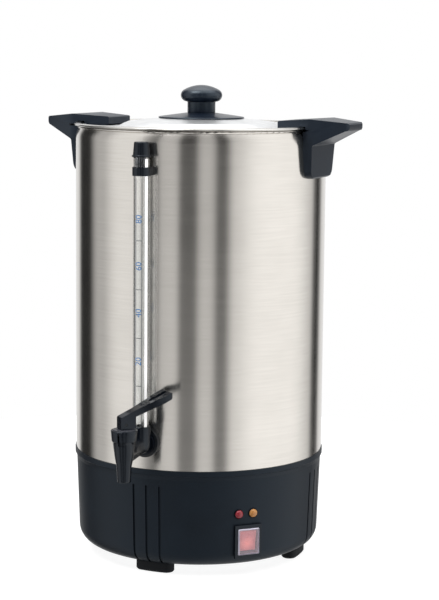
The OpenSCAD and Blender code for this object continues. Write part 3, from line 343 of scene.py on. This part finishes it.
# Screws under the base
# Zinc-plated pan-head screws with a cross recess, all driven upwards: four hold the
# plate, four the feet and four the shell's flange. Each shank is ridged like a thread.
def tree_inputs(tree, **kinds):
    """Declares a geometry tree's inputs and gives them as sockets."""
    for key, kind in kinds.items():
        tree.interface.new_socket(key.replace("_", " "), in_out="INPUT", socket_type="NodeSocket" + kind)
    tree.interface.new_socket("Geometry", in_out="OUTPUT", socket_type="NodeSocketGeometry")
    return add(tree, "NodeGroupInput").outputs


def tree_end(tree, made, look):
    """Ends a geometry tree: real mesh, merged seams and one finish."""
    real = add(tree, "GeometryNodeRealizeInstances", {"Geometry": made}).outputs[0]
    merged = add(tree, "GeometryNodeMergeByDistance", {"Geometry": real, "Distance": 1e-6}).outputs[0]
    dressed = add(tree, "GeometryNodeSetMaterial", {"Geometry": merged, "Material": look}).outputs[0]
    add(tree, "NodeGroupOutput", {0: dressed})


def grown(name, tree, body, slot, stands_for=(), place=Matrix.Identity(4), **given):
    """A piece made by a geometry tree from its named inputs, put in place with its faces outward."""
    holder = placed(name, bpy.data.meshes.new(name))
    maker = holder.modifiers.new(tree.name, "NODES")
    maker.node_group = tree
    sockets = {i.name: i.identifier for i in tree.interface.items_tree if i.in_out == "INPUT"}
    for key, value in given.items():
        maker[sockets[key.replace("_", " ")]] = value
    mesh = baked(holder)
    mesh.transform(place)
    shape = bmesh.new()
    shape.from_mesh(mesh)
    bmesh.ops.recalc_face_normals(shape, faces=shape.faces)
    creased(shape)
    shape.to_mesh(mesh)
    shape.free()
    holder.data = mesh
    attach(holder, body)
    if stands_for:
        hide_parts(*stands_for)
    return holder


def drop(*helpers):
    """Takes outlines and patterns away once the pieces are made from them."""
    for helper in helpers:
        bpy.data.objects.remove(helper)


def screw_blank(outline, sides=20):
    """A screw without its recess, turned round z from (radius, height) in mm."""
    shape = bmesh.new()
    rings = []
    for r, z in outline:
        if r == 0:
            rings.append([shape.verts.new((0, 0, z / 1000))] * sides)
            continue
        angles = [2 * pi * k / sides for k in range(sides)]
        rings.append([shape.verts.new((r / 1000 * cos(a), r / 1000 * sin(a), z / 1000)) for a in angles])
    for low, high in zip(rings, rings[1:]):
        for k in range(sides):
            after = (k + 1) % sides
            # at a tip two corners are the same point, which counts once
            shape.faces.new(list(dict.fromkeys((low[k], low[after], high[after], high[k]))))
    bmesh.ops.recalc_face_normals(shape, faces=shape.faces)
    blank = bpy.data.meshes.new("screw")
    shape.to_mesh(blank)
    shape.free()
    return blank


def driver_cross(head_r, head_h):
    """Two crossing wedges, the shape that the driver's tip leaves in a head that faces down."""
    wide, thick, above_head = head_r * 0.58 / 1000, 0.00042, 0.0005
    top_z, tip_z = -head_h / 1000 - above_head, -head_h / 1000 + head_h * 0.75 / 1000
    narrower, thinner = 0.35, 0.7
    cross = bmesh.new()
    for quarter in (0, pi / 2):
        corners = [(-wide, -thick), (wide, -thick), (wide, thick), (-wide, thick)]
        top = [cross.verts.new((x, y, top_z)) for x, y in corners]
        tip = [cross.verts.new((x * narrower, y * thinner, tip_z)) for x, y in corners]
        bmesh.ops.rotate(cross, verts=top + tip, cent=(0, 0, 0), matrix=Matrix.Rotation(quarter, 3, "Z"))
        cross.faces.new(top)
        cross.faces.new(tip[::-1])
        for k in range(4):
            cross.faces.new((top[k], tip[k], tip[(k + 1) % 4], top[(k + 1) % 4]))
    bmesh.ops.recalc_face_normals(cross, faces=cross.faces)
    wedges = bpy.data.meshes.new("cross")
    cross.to_mesh(wedges)
    cross.free()
    return wedges


def pan_head_screw(shank_r, head_r, head_h, length, pitch=0.7):
    """A screw to copy, in mm: its pan head points down from z = 0, its ridged shank up."""
    outline = [(0, -head_h), (head_r * 0.45, -head_h), (head_r * 0.8, -head_h * 0.86),
        (head_r, -head_h * 0.45), (head_r, 0), (shank_r, 0)]
    core_r, ridges = shank_r * 0.84, int((length - 2) / pitch)
    for k in range(ridges):
        outline += [(core_r, 1 + pitch * k), (shank_r, 1 + pitch * (k + 0.5))]
    outline += [(core_r, 1 + pitch * ridges), (0, length)]
    screw = placed("screw", screw_blank(outline))
    cutter = placed("cross", driver_cross(head_r, head_h))
    recess = screw.modifiers.new("recess", "BOOLEAN")
    recess.operation = "DIFFERENCE"
    recess.solver = "EXACT"
    recess.use_self = True
    recess.object = cutter
    screw.data = baked(screw)
    drop(cutter)
    return screw


def points_at(places):
    """An object of loose points in mm, where a tree puts its copies."""
    marks = bpy.data.meshes.new("places")
    marks.from_pydata([(x / 1000, y / 1000, z / 1000) for x, y, z in places], [], [])
    return placed("places", marks)


set_out = bpy.data.node_groups.new("copies_at_points", "GeometryNodeTree")
given = tree_inputs(set_out, Places="Object", Pattern="Object", Turn="Rotation", Finish="Material")
marks = add(set_out, "GeometryNodeObjectInfo", {"Object": given["Places"]}).outputs["Geometry"]
pattern = add(set_out, "GeometryNodeObjectInfo", {"Object": given["Pattern"]}).outputs["Geometry"]
points = add(set_out, "GeometryNodeMeshToPoints", {"Mesh": marks}).outputs[0]
copies = add(set_out, "GeometryNodeInstanceOnPoints", {"Points": points, "Instance": pattern,
    "Rotation": given["Turn"]}).outputs[0]
tree_end(set_out, copies, given["Finish"])


def ring_of(radius, angles, z):
    """Points in mm on a ring, by their angle from the tap towards +X."""
    return [(radius * sin(radians(a)), -radius * cos(radians(a)), z) for a in angles]


# bright and slightly mottled, so the heads stand out from the plate
screw_steel = finish("bright_zinc_screw_steel", "A8ABB0", "C6C8CB", 3, 0.01, (0.22, 0.34), Metallic=1.0)
shank_r, head_h = 2, 2.4
corners, foot_angles = (45, 135, 225, 315), (0, 94, 180, 266)
# each set's name, ring radius, angles, seat height, head radius and length
for name, radius, angles, seat_z, head_r, length in (
        ("base_plate_screws", 99.5, corners, 10, 3.8, 12),
        ("foot_screws", 106.5, foot_angles, 4, 3.8, 16),
        ("shell_screws", 124, corners, 101.6, 3.2, 7.4)):
    screw = pan_head_screw(shank_r, head_r, head_h, length)
    places = points_at(ring_of(radius, angles, seat_z))
    grown("cross_" + name, set_out, "vessel", "zinc_steel", (name,), Places=places, Pattern=screw,
        Finish=screw_steel)
    drop(screw, places)
dress(screw_steel, "handle_screws")


# Cord gland
# A black nylon bushing snapped into the back of the base; a supply lead would pass
# through it. It is moulded against a polished tool.

# nylon shows soft highlights along its edges and is blue-black between them
glossy_nylon = finish("tool_polished_nylon", "0A0D13", "0F131A", 1.0, 0.006, (0.16, 0.24),
    Specular_IOR_Level=0.3, Specular_Tint=(0.8, 0.9, 1, 1))
softened("cord_gland", 0.5, glossy_nylon, slot="switch_black")


# Switch and lamps
# A snap-in rocker switch: black nylon bezel, a red translucent rocker lit by a neon
# inside it, and a soft clear cover that keeps splashes out.
softened("switch_housing", 0.5, glossy_nylon, slot="switch_black")

panel_angle, panel_face, switch_z = radians(47), 127.2, 36.5
switch_out = Vector((sin(panel_angle), -cos(panel_angle), 0))
# pinkish red that is brightest where the neon sits, a little below the middle
rocker_red = finish("translucent_red_polycarbonate", "C8505A", "D66068", 3, 0.005, (0.25, 0.35),
    Transmission_Weight=0.25, Emission_Color=linear("FF9A86"))
neon = switch_out * (panel_face + 1) / 1000 + Vector((0.001, 0, (switch_z - 3) / 1000))
neon_reach = 0.010
tree = rocker_red.node_tree
place = add(tree, "ShaderNodeTexCoord").outputs["Object"]
from_neon = add(tree, "ShaderNodeMapping", {"Vector": place, "Location": -neon},
    vector_type="POINT").outputs[0]
distance = add(tree, "ShaderNodeVectorMath", {0: from_neon}, operation="LENGTH").outputs["Value"]
lit = add(tree, "ShaderNodeMapRange", {"Value": distance, "From Min": 0.0, "From Max": neon_reach,
    "To Min": 0.95, "To Max": 0.24}, interpolation_type="SMOOTHSTEP").outputs[0]
tree.links.new(lit, tree.nodes["Principled BSDF"].inputs["Emission Strength"])
softened("switch_rocker", 0.7, rocker_red, body="switch_rocker", slot="rocker_red")

# the cover lets the red through with a lilac veil; its walls get a paler, less clear vinyl, a painted sheen
# for the whiter look that a clear wall has when seen edge-on
clear_vinyl = finish("soft_clear_vinyl", "C9B8C4", "D6C8D2", 4, 0.004, (0.3, 0.4), Alpha=0.3)
wall_vinyl_painted_sheen = finish("soft_vinyl_wall_painted_sheen", "CFCBDC", "E2DFEC", 4, 0.004, (0.35, 0.45), Alpha=0.85)
cover = softened("switch_boot", 0.9, clear_vinyl, slot="clear_cover")
cover.data.materials.append(wall_vinyl_painted_sheen)
for face in cover.data.polygons:
    if abs(face.normal.dot(switch_out)) < 0.9:
        face.material_index = 1

# lathe for the lamps, the sight tube and the knob: an outline swept round a path that hugs the z axis
path_r = 0.001
spun = bpy.data.node_groups.new("spun_part", "GeometryNodeTree")
given = tree_inputs(spun, Outline="Object", Segments="Int", Finish="Material")
outline = add(spun, "GeometryNodeObjectInfo", {"Object": given["Outline"]}).outputs["Geometry"]
path = add(spun, "GeometryNodeCurvePrimitiveCircle", {"Resolution": given["Segments"], "Radius": path_r},
    mode="RADIUS").outputs["Curve"]
upright = add(spun, "GeometryNodeSetCurveNormal", {"Curve": path}, mode="Z_UP").outputs["Curve"]
swept = add(spun, "GeometryNodeCurveToMesh", {"Curve": upright, "Profile Curve": outline}).outputs["Mesh"]
tree_end(spun, swept, given["Finish"])


def spin(name, outline, look, body, slot, stands_for=(), place=Matrix.Identity(4), closed=False, segments=96):
    """A round piece from its outline of (radius, height) in mm, joined end to start where it is closed."""
    curve = bpy.data.curves.new("outline", "CURVE")
    curve.dimensions = "3D"
    line = curve.splines.new("POLY")
    line.points.add(len(outline) - 1)
    for point, (r, z) in zip(line.points, outline):
        point.co = (r / 1000 - path_r, -z / 1000, 0, 1)
    line.use_cyclic_u = closed
    profile = placed("outline", curve)
    piece = grown(name, spun, body, slot, stands_for, place, Outline=profile, Segments=segments, Finish=look)
    drop(profile)
    return piece


def arc(r, z, radius, start, end, steps):
    """Points of a circle's arc in an outline, angles in degrees."""
    angles = [radians(start + (end - start) * k / steps) for k in range(steps + 1)]
    return [(r + radius * cos(a), z + radius * sin(a)) for a in angles]


# neon lamps: a domed lens over a neon bulb, in a black ring that snaps into the base
lamp_angle, lamp_z, lamp_apart, lamp_sides = radians(46), 65, 7.7, 40
across = Vector((cos(lamp_angle), sin(lamp_angle), 0))
outward = Vector((sin(lamp_angle), -cos(lamp_angle), 0))
dome = [(0, 0.3), (4.2, 0.3), (4.2, 1.5), (4.05, 2.1), (3.6, 2.7), (2.9, 3.2), (2.0, 3.6), (1.0, 3.85),
    (0, 3.95)]
bezel = [(0, -16), (4.1, -16), (4.5, -15.5), (4.5, 0.05), (5.2, 0.05), (5.2, 1.2), (5.0, 1.7), (4.6, 1.8),
    (4.3, 1.5), (4.3, 0.2), (0, 0.2)]
for name, slot, side, dark, pale, inner, share in (
        ("red_lamp", "lamp_red", -1, "7C1A28", "9A2A36", "FF3848", 0.03),
        ("amber_lamp", "lamp_amber", 1, "A06A38", "D09A56", "FFA850", 0.08)):
    # cast acrylic is deep in colour, with a small highlight on the dome and a trace of light in it
    acrylic = finish("cast_acrylic_" + name, dark, pale, 1.6, 0.02, (0.12, 0.2), Transmission_Weight=0.15,
        Emission_Color=linear(inner), Emission_Strength=share)
    seat = across * side * lamp_apart / 1000 + outward * panel_face / 1000 + Vector((0, 0, lamp_z / 1000))
    place = Matrix.Translation(seat) @ Matrix((across, Vector((0, 0, 1)), outward)).transposed().to_4x4()
    spin(name + "_lens", dome, acrylic, "vessel", slot, (name,), place, segments=lamp_sides)
    spin(name + "_ring", bezel, glossy_nylon, "vessel", "switch_black", (), place, segments=lamp_sides)


# Handles
# Bracket handles of the same black polypropylene, moulded solid and screwed through
# the shell. A tongue reaches in over the lid's edge, and a slot clasps the rim.

# a finer texture than the base's, drawn at 0.8 mm, so the top faces go pale towards the light
handle_plastic = finish("fine_textured_polypropylene", "10161F", "161D28", 0.8, 0.015, (0.34, 0.42),
    Specular_IOR_Level=0.4, Specular_Tint=(0.74, 0.87, 1, 1))
# heights of the CAD handle's points that are fitted to the pressed roll, and the slot's new floor
tongue_foot, tongue_chamfer, slot_roof, slot_floor, new_floor = 0.4496, 0.4504, 0.4533, 0.4416, 0.4453
groove_low, groove_z, groove_high, groove_left = 0.4455, 0.4466, 0.4477, 0.03
# how far those points lie from the urn's axis, and how far the roll's top has dropped
tongue_end, tongue_out, roof_in, roof_out = 0.0955, 0.1245, 0.123, 0.134
floor_in, floor_out, groove_in, roll_drop, near = 0.1285, 0.1345, 0.1335, 0.0028, 2e-4


def reaching_rim(point):
    """Fits the handle to the pressed roll: a deeper tongue and a closer slot, without its side groove."""
    x, y, z = point
    reach = hypot(x, y)
    tongue = abs(z - tongue_foot) < near or abs(z - tongue_chamfer) < near and abs(x) < tongue_end
    if tongue and reach < tongue_out or abs(z - slot_roof) < 1.5 * near and roof_in < reach < roof_out:
        z -= roll_drop
    elif abs(z - slot_floor) < near and floor_in < reach < floor_out:
        z = new_floor
    elif x > 0 and reach > groove_in and groove_low < z < groove_high:
        z = groove_z + (z - groove_z) * groove_left
    return Vector((x, y, z))


for name in ("handle_left", "handle_right"):
    softened(name, 0.9, handle_plastic, move=reaching_rim)


# Sight gauge
# A clear polycarbonate tube with a scale screen-printed on it: two fine lines, cross
# strokes and turned figures for the cups. A vented cap plugs its top, a band holds it.
tube_y, tube_r, bore_r, tube_low, tube_high, bevel = -141.5, 8.0, 6.0, 146.55, 421.65, 0.6
gauge_axis = Matrix.Translation((0, tube_y / 1000, 0))
# clear, with faint draw lines along it and bright and dark lines where its walls bend the light
clear_tube = finish("extruded_polycarbonate", "F4F7F8", "FFFFFF", 30, 0.004, (0.01, 0.03), (1, 1, 0.05),
    Transmission_Weight=1.0, IOR=1.5)
low_bevel, high_bevel = tube_low + 0.55, tube_high - 0.55
tube_wall = [(bore_r, low_bevel), (bore_r + bevel, tube_low), (tube_r - bevel, tube_low),
    (tube_r, low_bevel), (tube_r, high_bevel), (tube_r - bevel, tube_high),
    (bore_r + bevel, tube_high), (bore_r, high_bevel)]
spin("sight_tube", tube_wall, clear_tube, "vessel", "clear_tube", ("gauge_tube",), gauge_axis, closed=True)
dress(glossy_nylon, "gauge_cap", "gauge_clamp")

# the scale is turned a little towards the right, and the ink stands just off the tube
scale_turn, ink_lift, ink_thick = radians(8), 0.03, 0.02


def wrapped(point, up=0):
    """Where a point of a flat print in mm lies on the tube: its x runs up from up, its y round it."""
    x, y, z = point
    angle = scale_turn - y / tube_r
    reach = tube_r + ink_lift + z
    return reach * sin(angle) / 1000, (tube_y - reach * cos(angle)) / 1000, (up + x) / 1000


def printed(name, flat, look, up):
    """A print laid round the tube."""
    for v in flat.vertices:
        v.co = wrapped(v.co, up)
    shape = bmesh.new()
    shape.from_mesh(flat)
    bmesh.ops.remove_doubles(shape, verts=shape.verts, dist=1e-7)
    bmesh.ops.recalc_face_normals(shape, faces=shape.faces)
    shape.to_mesh(flat)
    shape.free()
    coat(flat, look)
    piece = placed(name, flat)
    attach(piece, "vessel")


def strip(length, width, steps, shift=0):
    """A thin bar along x, shifted in y and divided so that it can bend round the tube."""
    shape = bmesh.new()
    bmesh.ops.create_cube(shape, size=1, matrix=Matrix.Diagonal((length, width, ink_thick, 1)))
    if steps > 1:
        round_it = [e for e in shape.edges if abs((e.verts[0].co - e.verts[1].co).y) > 0.1]
        bmesh.ops.subdivide_edges(shape, edges=round_it, cuts=steps - 1)
    flat = bpy.data.meshes.new("print")
    shape.to_mesh(flat)
    shape.free()
    flat.transform(Matrix.Translation((0, shift, 0)))
    return flat


# inks are matt and even: blue figures, and grey lines that stay thin against the tube
blue_ink = finish("blue_screen_ink", "2F6FAE", "3C7CBA", 0.6, 0.002, (0.4, 0.5))
grey_ink = finish("grey_screen_ink", "3E464E", "4C545C", 0.6, 0.002, (0.4, 0.5))
figure_size = 8.6
for cups, up in (("20", 222), ("40", 270), ("60", 316), ("80", 362)):
    figure = bpy.data.curves.new("figure", "FONT")
    figure.body = cups
    figure.size = figure_size
    figure.extrude = ink_thick
    figure.align_x = "CENTER"
    figure.align_y = "CENTER"
    held = placed("figure", figure)
    flat = baked(held)
    drop(held)
    printed("scale_figure_" + cups, flat, blue_ink, up)
line_length, line_width, line_middle = 250, 0.45, 276
for name, shift in (("scale_line_left", 3.0), ("scale_line_right", -3.0)):
    printed(name, strip(line_length, line_width, 1, shift), grey_ink, line_middle)

# a white strip up the tube's right side is a painted highlight: it stands for the bright line that the clear
# wall shows there, and its glow is painted light as well
painted_highlight_finish = finish("painted_highlight_on_tube", "F4F4F2", "FFFFFF", 2, 0.002, (0.3, 0.4),
    Emission_Color=linear("FFFFFF"), Emission_Strength=0.35)
stripe_length, stripe_width, stripe_shift, stripe_middle, bends = 272, 3.3, -7.75, 284.4, 8
stripe = strip(stripe_length, stripe_width, bends, stripe_shift)
printed("scale_white_stripe", stripe, painted_highlight_finish, stripe_middle)

# the strokes are set out flat, a metre for a millimetre, and then wrapped like the other prints
stroke_heights, stroke_thick, stroke_width = (197.5, 245, 293, 341), 0.6, 6.0
stroke = placed("stroke", strip(stroke_thick, stroke_width, bends))
places = points_at([(1000 * z, 0, 0) for z in stroke_heights])
strokes = grown("scale_strokes", set_out, "vessel", "clear_tube", Places=places, Pattern=stroke,
    Finish=grey_ink)
drop(stroke, places)
for v in strokes.data.vertices:
    v.co = wrapped(v.co)


# Tap
# A gravity tap of glossy black nylon: shank, gauge socket and spout in one moulding.
# A paddle lever rolls on a wear ring and lifts a steel stem with a silicone plug.
softened("tap_body", 0.35, glossy_nylon, slot="tap_plastic", corner=50)
softened("tap_lever", 0.8, glossy_nylon, body="tap_lever", slot="tap_plastic")
dress(glossy_nylon, "tap_bonnet")
# the wear ring is a duller, greyer black than the lever on it
acetal = finish("natural_grey_acetal", "2E3036", "3A3C43", 1.5, 0.01, (0.3, 0.4), Specular_IOR_Level=0.3)
softened("tap_collar", 0.4, acetal, body="tap_swivel", slot="tap_plastic")
# turning leaves rings a tenth of a millimetre apart that break the glints up; they are
# drawn as a grain of 0.25 to 0.5 mm
turned_steel = finish("turned_stainless_steel", "BCBBB8", "D0CFCC", 0.5, 0.01, (0.16, 0.26), (1, 1, 2),
    Metallic=1.0)
dress(turned_steel, "tap_stem", "tap_nut", "gauge_clamp_screw", "knob_screw", "pump_washer")
# silicone is soft to the eye: no sharp highlight, and light goes a little way in
white_silicone = finish("moulded_white_silicone", "D9DAD8", "E6E7E5", 2, 0.01, (0.45, 0.55),
    Subsurface_Weight=0.1)
dress(white_silicone, "tap_spacer", "tap_inner_washer", "gauge_seal")
red_silicone = finish("moulded_red_silicone", "A8382E", "B84438", 2, 0.01, (0.45, 0.55),
    Subsurface_Weight=0.1)
dress(red_silicone, "tap_plug")
# the pin is blackened, so it does not show as a bright dot in the lever
black_oxide = finish("black_oxide_steel", "16181B", "1E2124", 0.8, 0.01, (0.3, 0.4), Metallic=0.6)
dress(black_oxide, "tap_pin")
# the gasket is made dark and wider than it is, as a painted reflection: the dark ring round the flange is
# partly the flange's edge and partly its mirror image in the steel
gasket_painted_reflection_finish = finish("gasket_painted_reflection", "14171B", "1B1F24", 2, 0.01, (0.35, 0.45),
    Specular_IOR_Level=0.4)
gasket_heights = [v.co.z for v in node["tap_gasket"].data.vertices]
gasket_z = (min(gasket_heights) + max(gasket_heights)) / 2
gasket_rim, gasket_spread = 0.0112, 1.28


def spread(point):
    """Widens the gasket's rim into the dark ring round the flange, which paints the flange's reflection in
    the steel.
    """
    off, up = point.x, point.z - gasket_z
    wide = gasket_spread if hypot(off, up) > gasket_rim else 1
    return Vector((off * wide, point.y, gasket_z + up * wide))


softened("tap_gasket", 0.3, gasket_painted_reflection_finish, slot="white_silicone", move=spread)

# closing spring: stainless wire wound on a mandrel, squeezed as the lever lifts the stem
wound = bpy.data.node_groups.new("wound_wire", "GeometryNodeTree")
given = tree_inputs(wound, Turns="Float", Coil_Radius="Float", Height="Float", Wire_Radius="Float",
    Finish="Material")
helix = add(wound, "GeometryNodeCurveSpiral", {"Resolution": 20, "Rotations": given["Turns"],
    "Start Radius": given["Coil Radius"], "End Radius": given["Coil Radius"],
    "Height": given["Height"]}).outputs[0]
bar = add(wound, "GeometryNodeCurvePrimitiveCircle", {"Resolution": 10, "Radius": given["Wire Radius"]},
    mode="RADIUS").outputs["Curve"]
wire = add(wound, "GeometryNodeCurveToMesh", {"Curve": helix, "Profile Curve": bar,
    "Fill Caps": True}).outputs[0]
tree_end(wound, wire, given["Finish"])
spout_y, plug_top, spring_top, wire_r, coil_r = -178.0, 132.0, 150.0, 0.45, 4.4
# drawn wire is bright along each turn; its fine die lines are drawn as a 0.8 mm grain
spring_steel = finish("spring_tempered_stainless_wire", "A9A8A5", "C2C1BE", 0.8, 0.01, (0.2, 0.3),
    Metallic=1.0)
spring = grown("closing_spring", wound, "vessel", "stainless", ("tap_spring",),
    Matrix.Translation((0, spout_y / 1000, (plug_top + wire_r) / 1000)), Turns=6.0, Coil_Radius=coil_r / 1000,
    Height=(spring_top - plug_top - 2 * wire_r) / 1000, Wire_Radius=wire_r / 1000, Finish=spring_steel)
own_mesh(spring)


# Lid
# Stainless steel, pressed to a low dome and polished on a wheel, with a rolled edge.
# The knob and its disc are moulded and held by one screw from below.

# washing has dulled the mirror polish, so the knob and the boxes show in it as soft patches
polished_steel = finish("mirror_polished_stainless_steel", "D8D9DA", "E2E3E4", 9, 0.003, (0.3, 0.38),
    Metallic=1.0)
dress(polished_steel, "lid")
# smoother than the handles, so the crown and the disc mirror the ceiling in blue-grey
knob_plastic = finish("tool_polished_polypropylene", "0A111E", "101926", 1.0, 0.01, (0.26, 0.34),
    Specular_IOR_Level=0.5, Specular_Tint=(0.76, 0.9, 1, 1))
# the disc's underside lies on the dome, and its top slopes up to the knob's neck
dome_R, dome_top, disc_r, screw_r, neck_z, knob_sides = 538.2, 457.0, 44.5, 3.1, 460.9, 160
under = [(r, dome_top - dome_R + sqrt(dome_R ** 2 - r ** 2)) for r in (screw_r, 15, 30, 40, disc_r - 0.4)]
upper = [(disc_r, 455.6), (disc_r, 456.3), (disc_r - 0.35, 456.75), (disc_r - 1.2, 457.0),
    (34, 458.35), (24, 459.7), (18, 460.55), (15.6, 460.86), (14.8, neck_z), (screw_r, neck_z)]
spin("knob_base_disc", under + upper, knob_plastic, "lid_set", "black_plastic", ("knob_disc",),
    closed=True, segments=knob_sides)
# the knob: a neck, a round bulge and a flatter crown that meets it
neck_r, hole_r, hole_top = 14.5, 3.05, 476.9
bulge_c, bulge_r, bulge_z, crown_R, crown_drop = 15.0, 6.5, 478.9, 35.99, 25.4
crown = [(crown_R * sin(radians(a)), bulge_z - crown_drop + crown_R * cos(radians(a)))
    for a in (28, 25, 22, 19, 16, 13, 10, 7, 4, 2, 0)]
neck = [(0, hole_top), (hole_r, hole_top), (hole_r, neck_z), (neck_r - 0.6, neck_z),
    (neck_r - 0.15, neck_z + 0.2), (neck_r, neck_z + 0.7), (neck_r, 471.4), (neck_r + 0.2, 472.1)]
spin("turned_knob", neck + arc(bulge_c, bulge_z, bulge_r, -84, 59.4, 22) + crown, knob_plastic, "lid_set",
    "black_plastic", ("lid_knob",), segments=knob_sides)


# Percolator
# Spun and drawn aluminium, left bare: pump foot, rising tube, perforated basket and its
# spreader. Boiling water lifts the washer and goes up the tube over the grounds.

# spinning leaves fine rings that turn the light round each piece, drawn 1.4 mm apart
spun_aluminium = finish("spun_aluminium", "B4B7BA", "CBCED0", 1.4, 0.01, (0.28, 0.4), (0.03, 0.03, 1),
    Metallic=1.0)
dress(spun_aluminium, "pump_base", "pump_tube", "coffee_basket", "basket_cover")


# Heater and sensors
# A sheathed ring under an aluminium plate, two sensors pressed to the floor by a strap,
# and the supply terminals on the base's plate.

# casting leaves a dull, slightly pebbled grey
cast_aluminium = finish("cast_aluminium", "A3A6A9", "B8BBBE", 3, 0.03, (0.4, 0.52), Metallic=1.0)
dress(cast_aluminium, "heater_plate")
# heat has browned the sheath in patches
sheath = finish("oxidised_sheath_steel", "4A4540", "6B645C", 5, 0.01, (0.42, 0.58), Metallic=0.8)
dress(sheath, "heating_element")
# phenolic is a brown moulding with a low shine
phenolic = finish("brown_phenolic_resin", "3A2218", "4C2E20", 1.2, 0.01, (0.3, 0.4))
dress(phenolic, "thermostat", "thermal_cutout")
dress(zinc, "sensor_bracket", "sensor_studs", "sensor_nuts")
# glazed ceramic is off-white with a clean highlight
steatite = finish("glazed_steatite", "DCD9D0", "EBE8E0", 4, 0.01, (0.18, 0.3))
dress(steatite, "terminal_block")
dress(screw_steel, "terminal_screws")
# brass tells the earth stud apart from the steel round it; its turning is drawn at 1 mm
brass = finish("turned_brass", "B08D4C", "C8A560", 1, 0.01, (0.2, 0.32), Metallic=1.0)
dress(brass, "earth_stud")
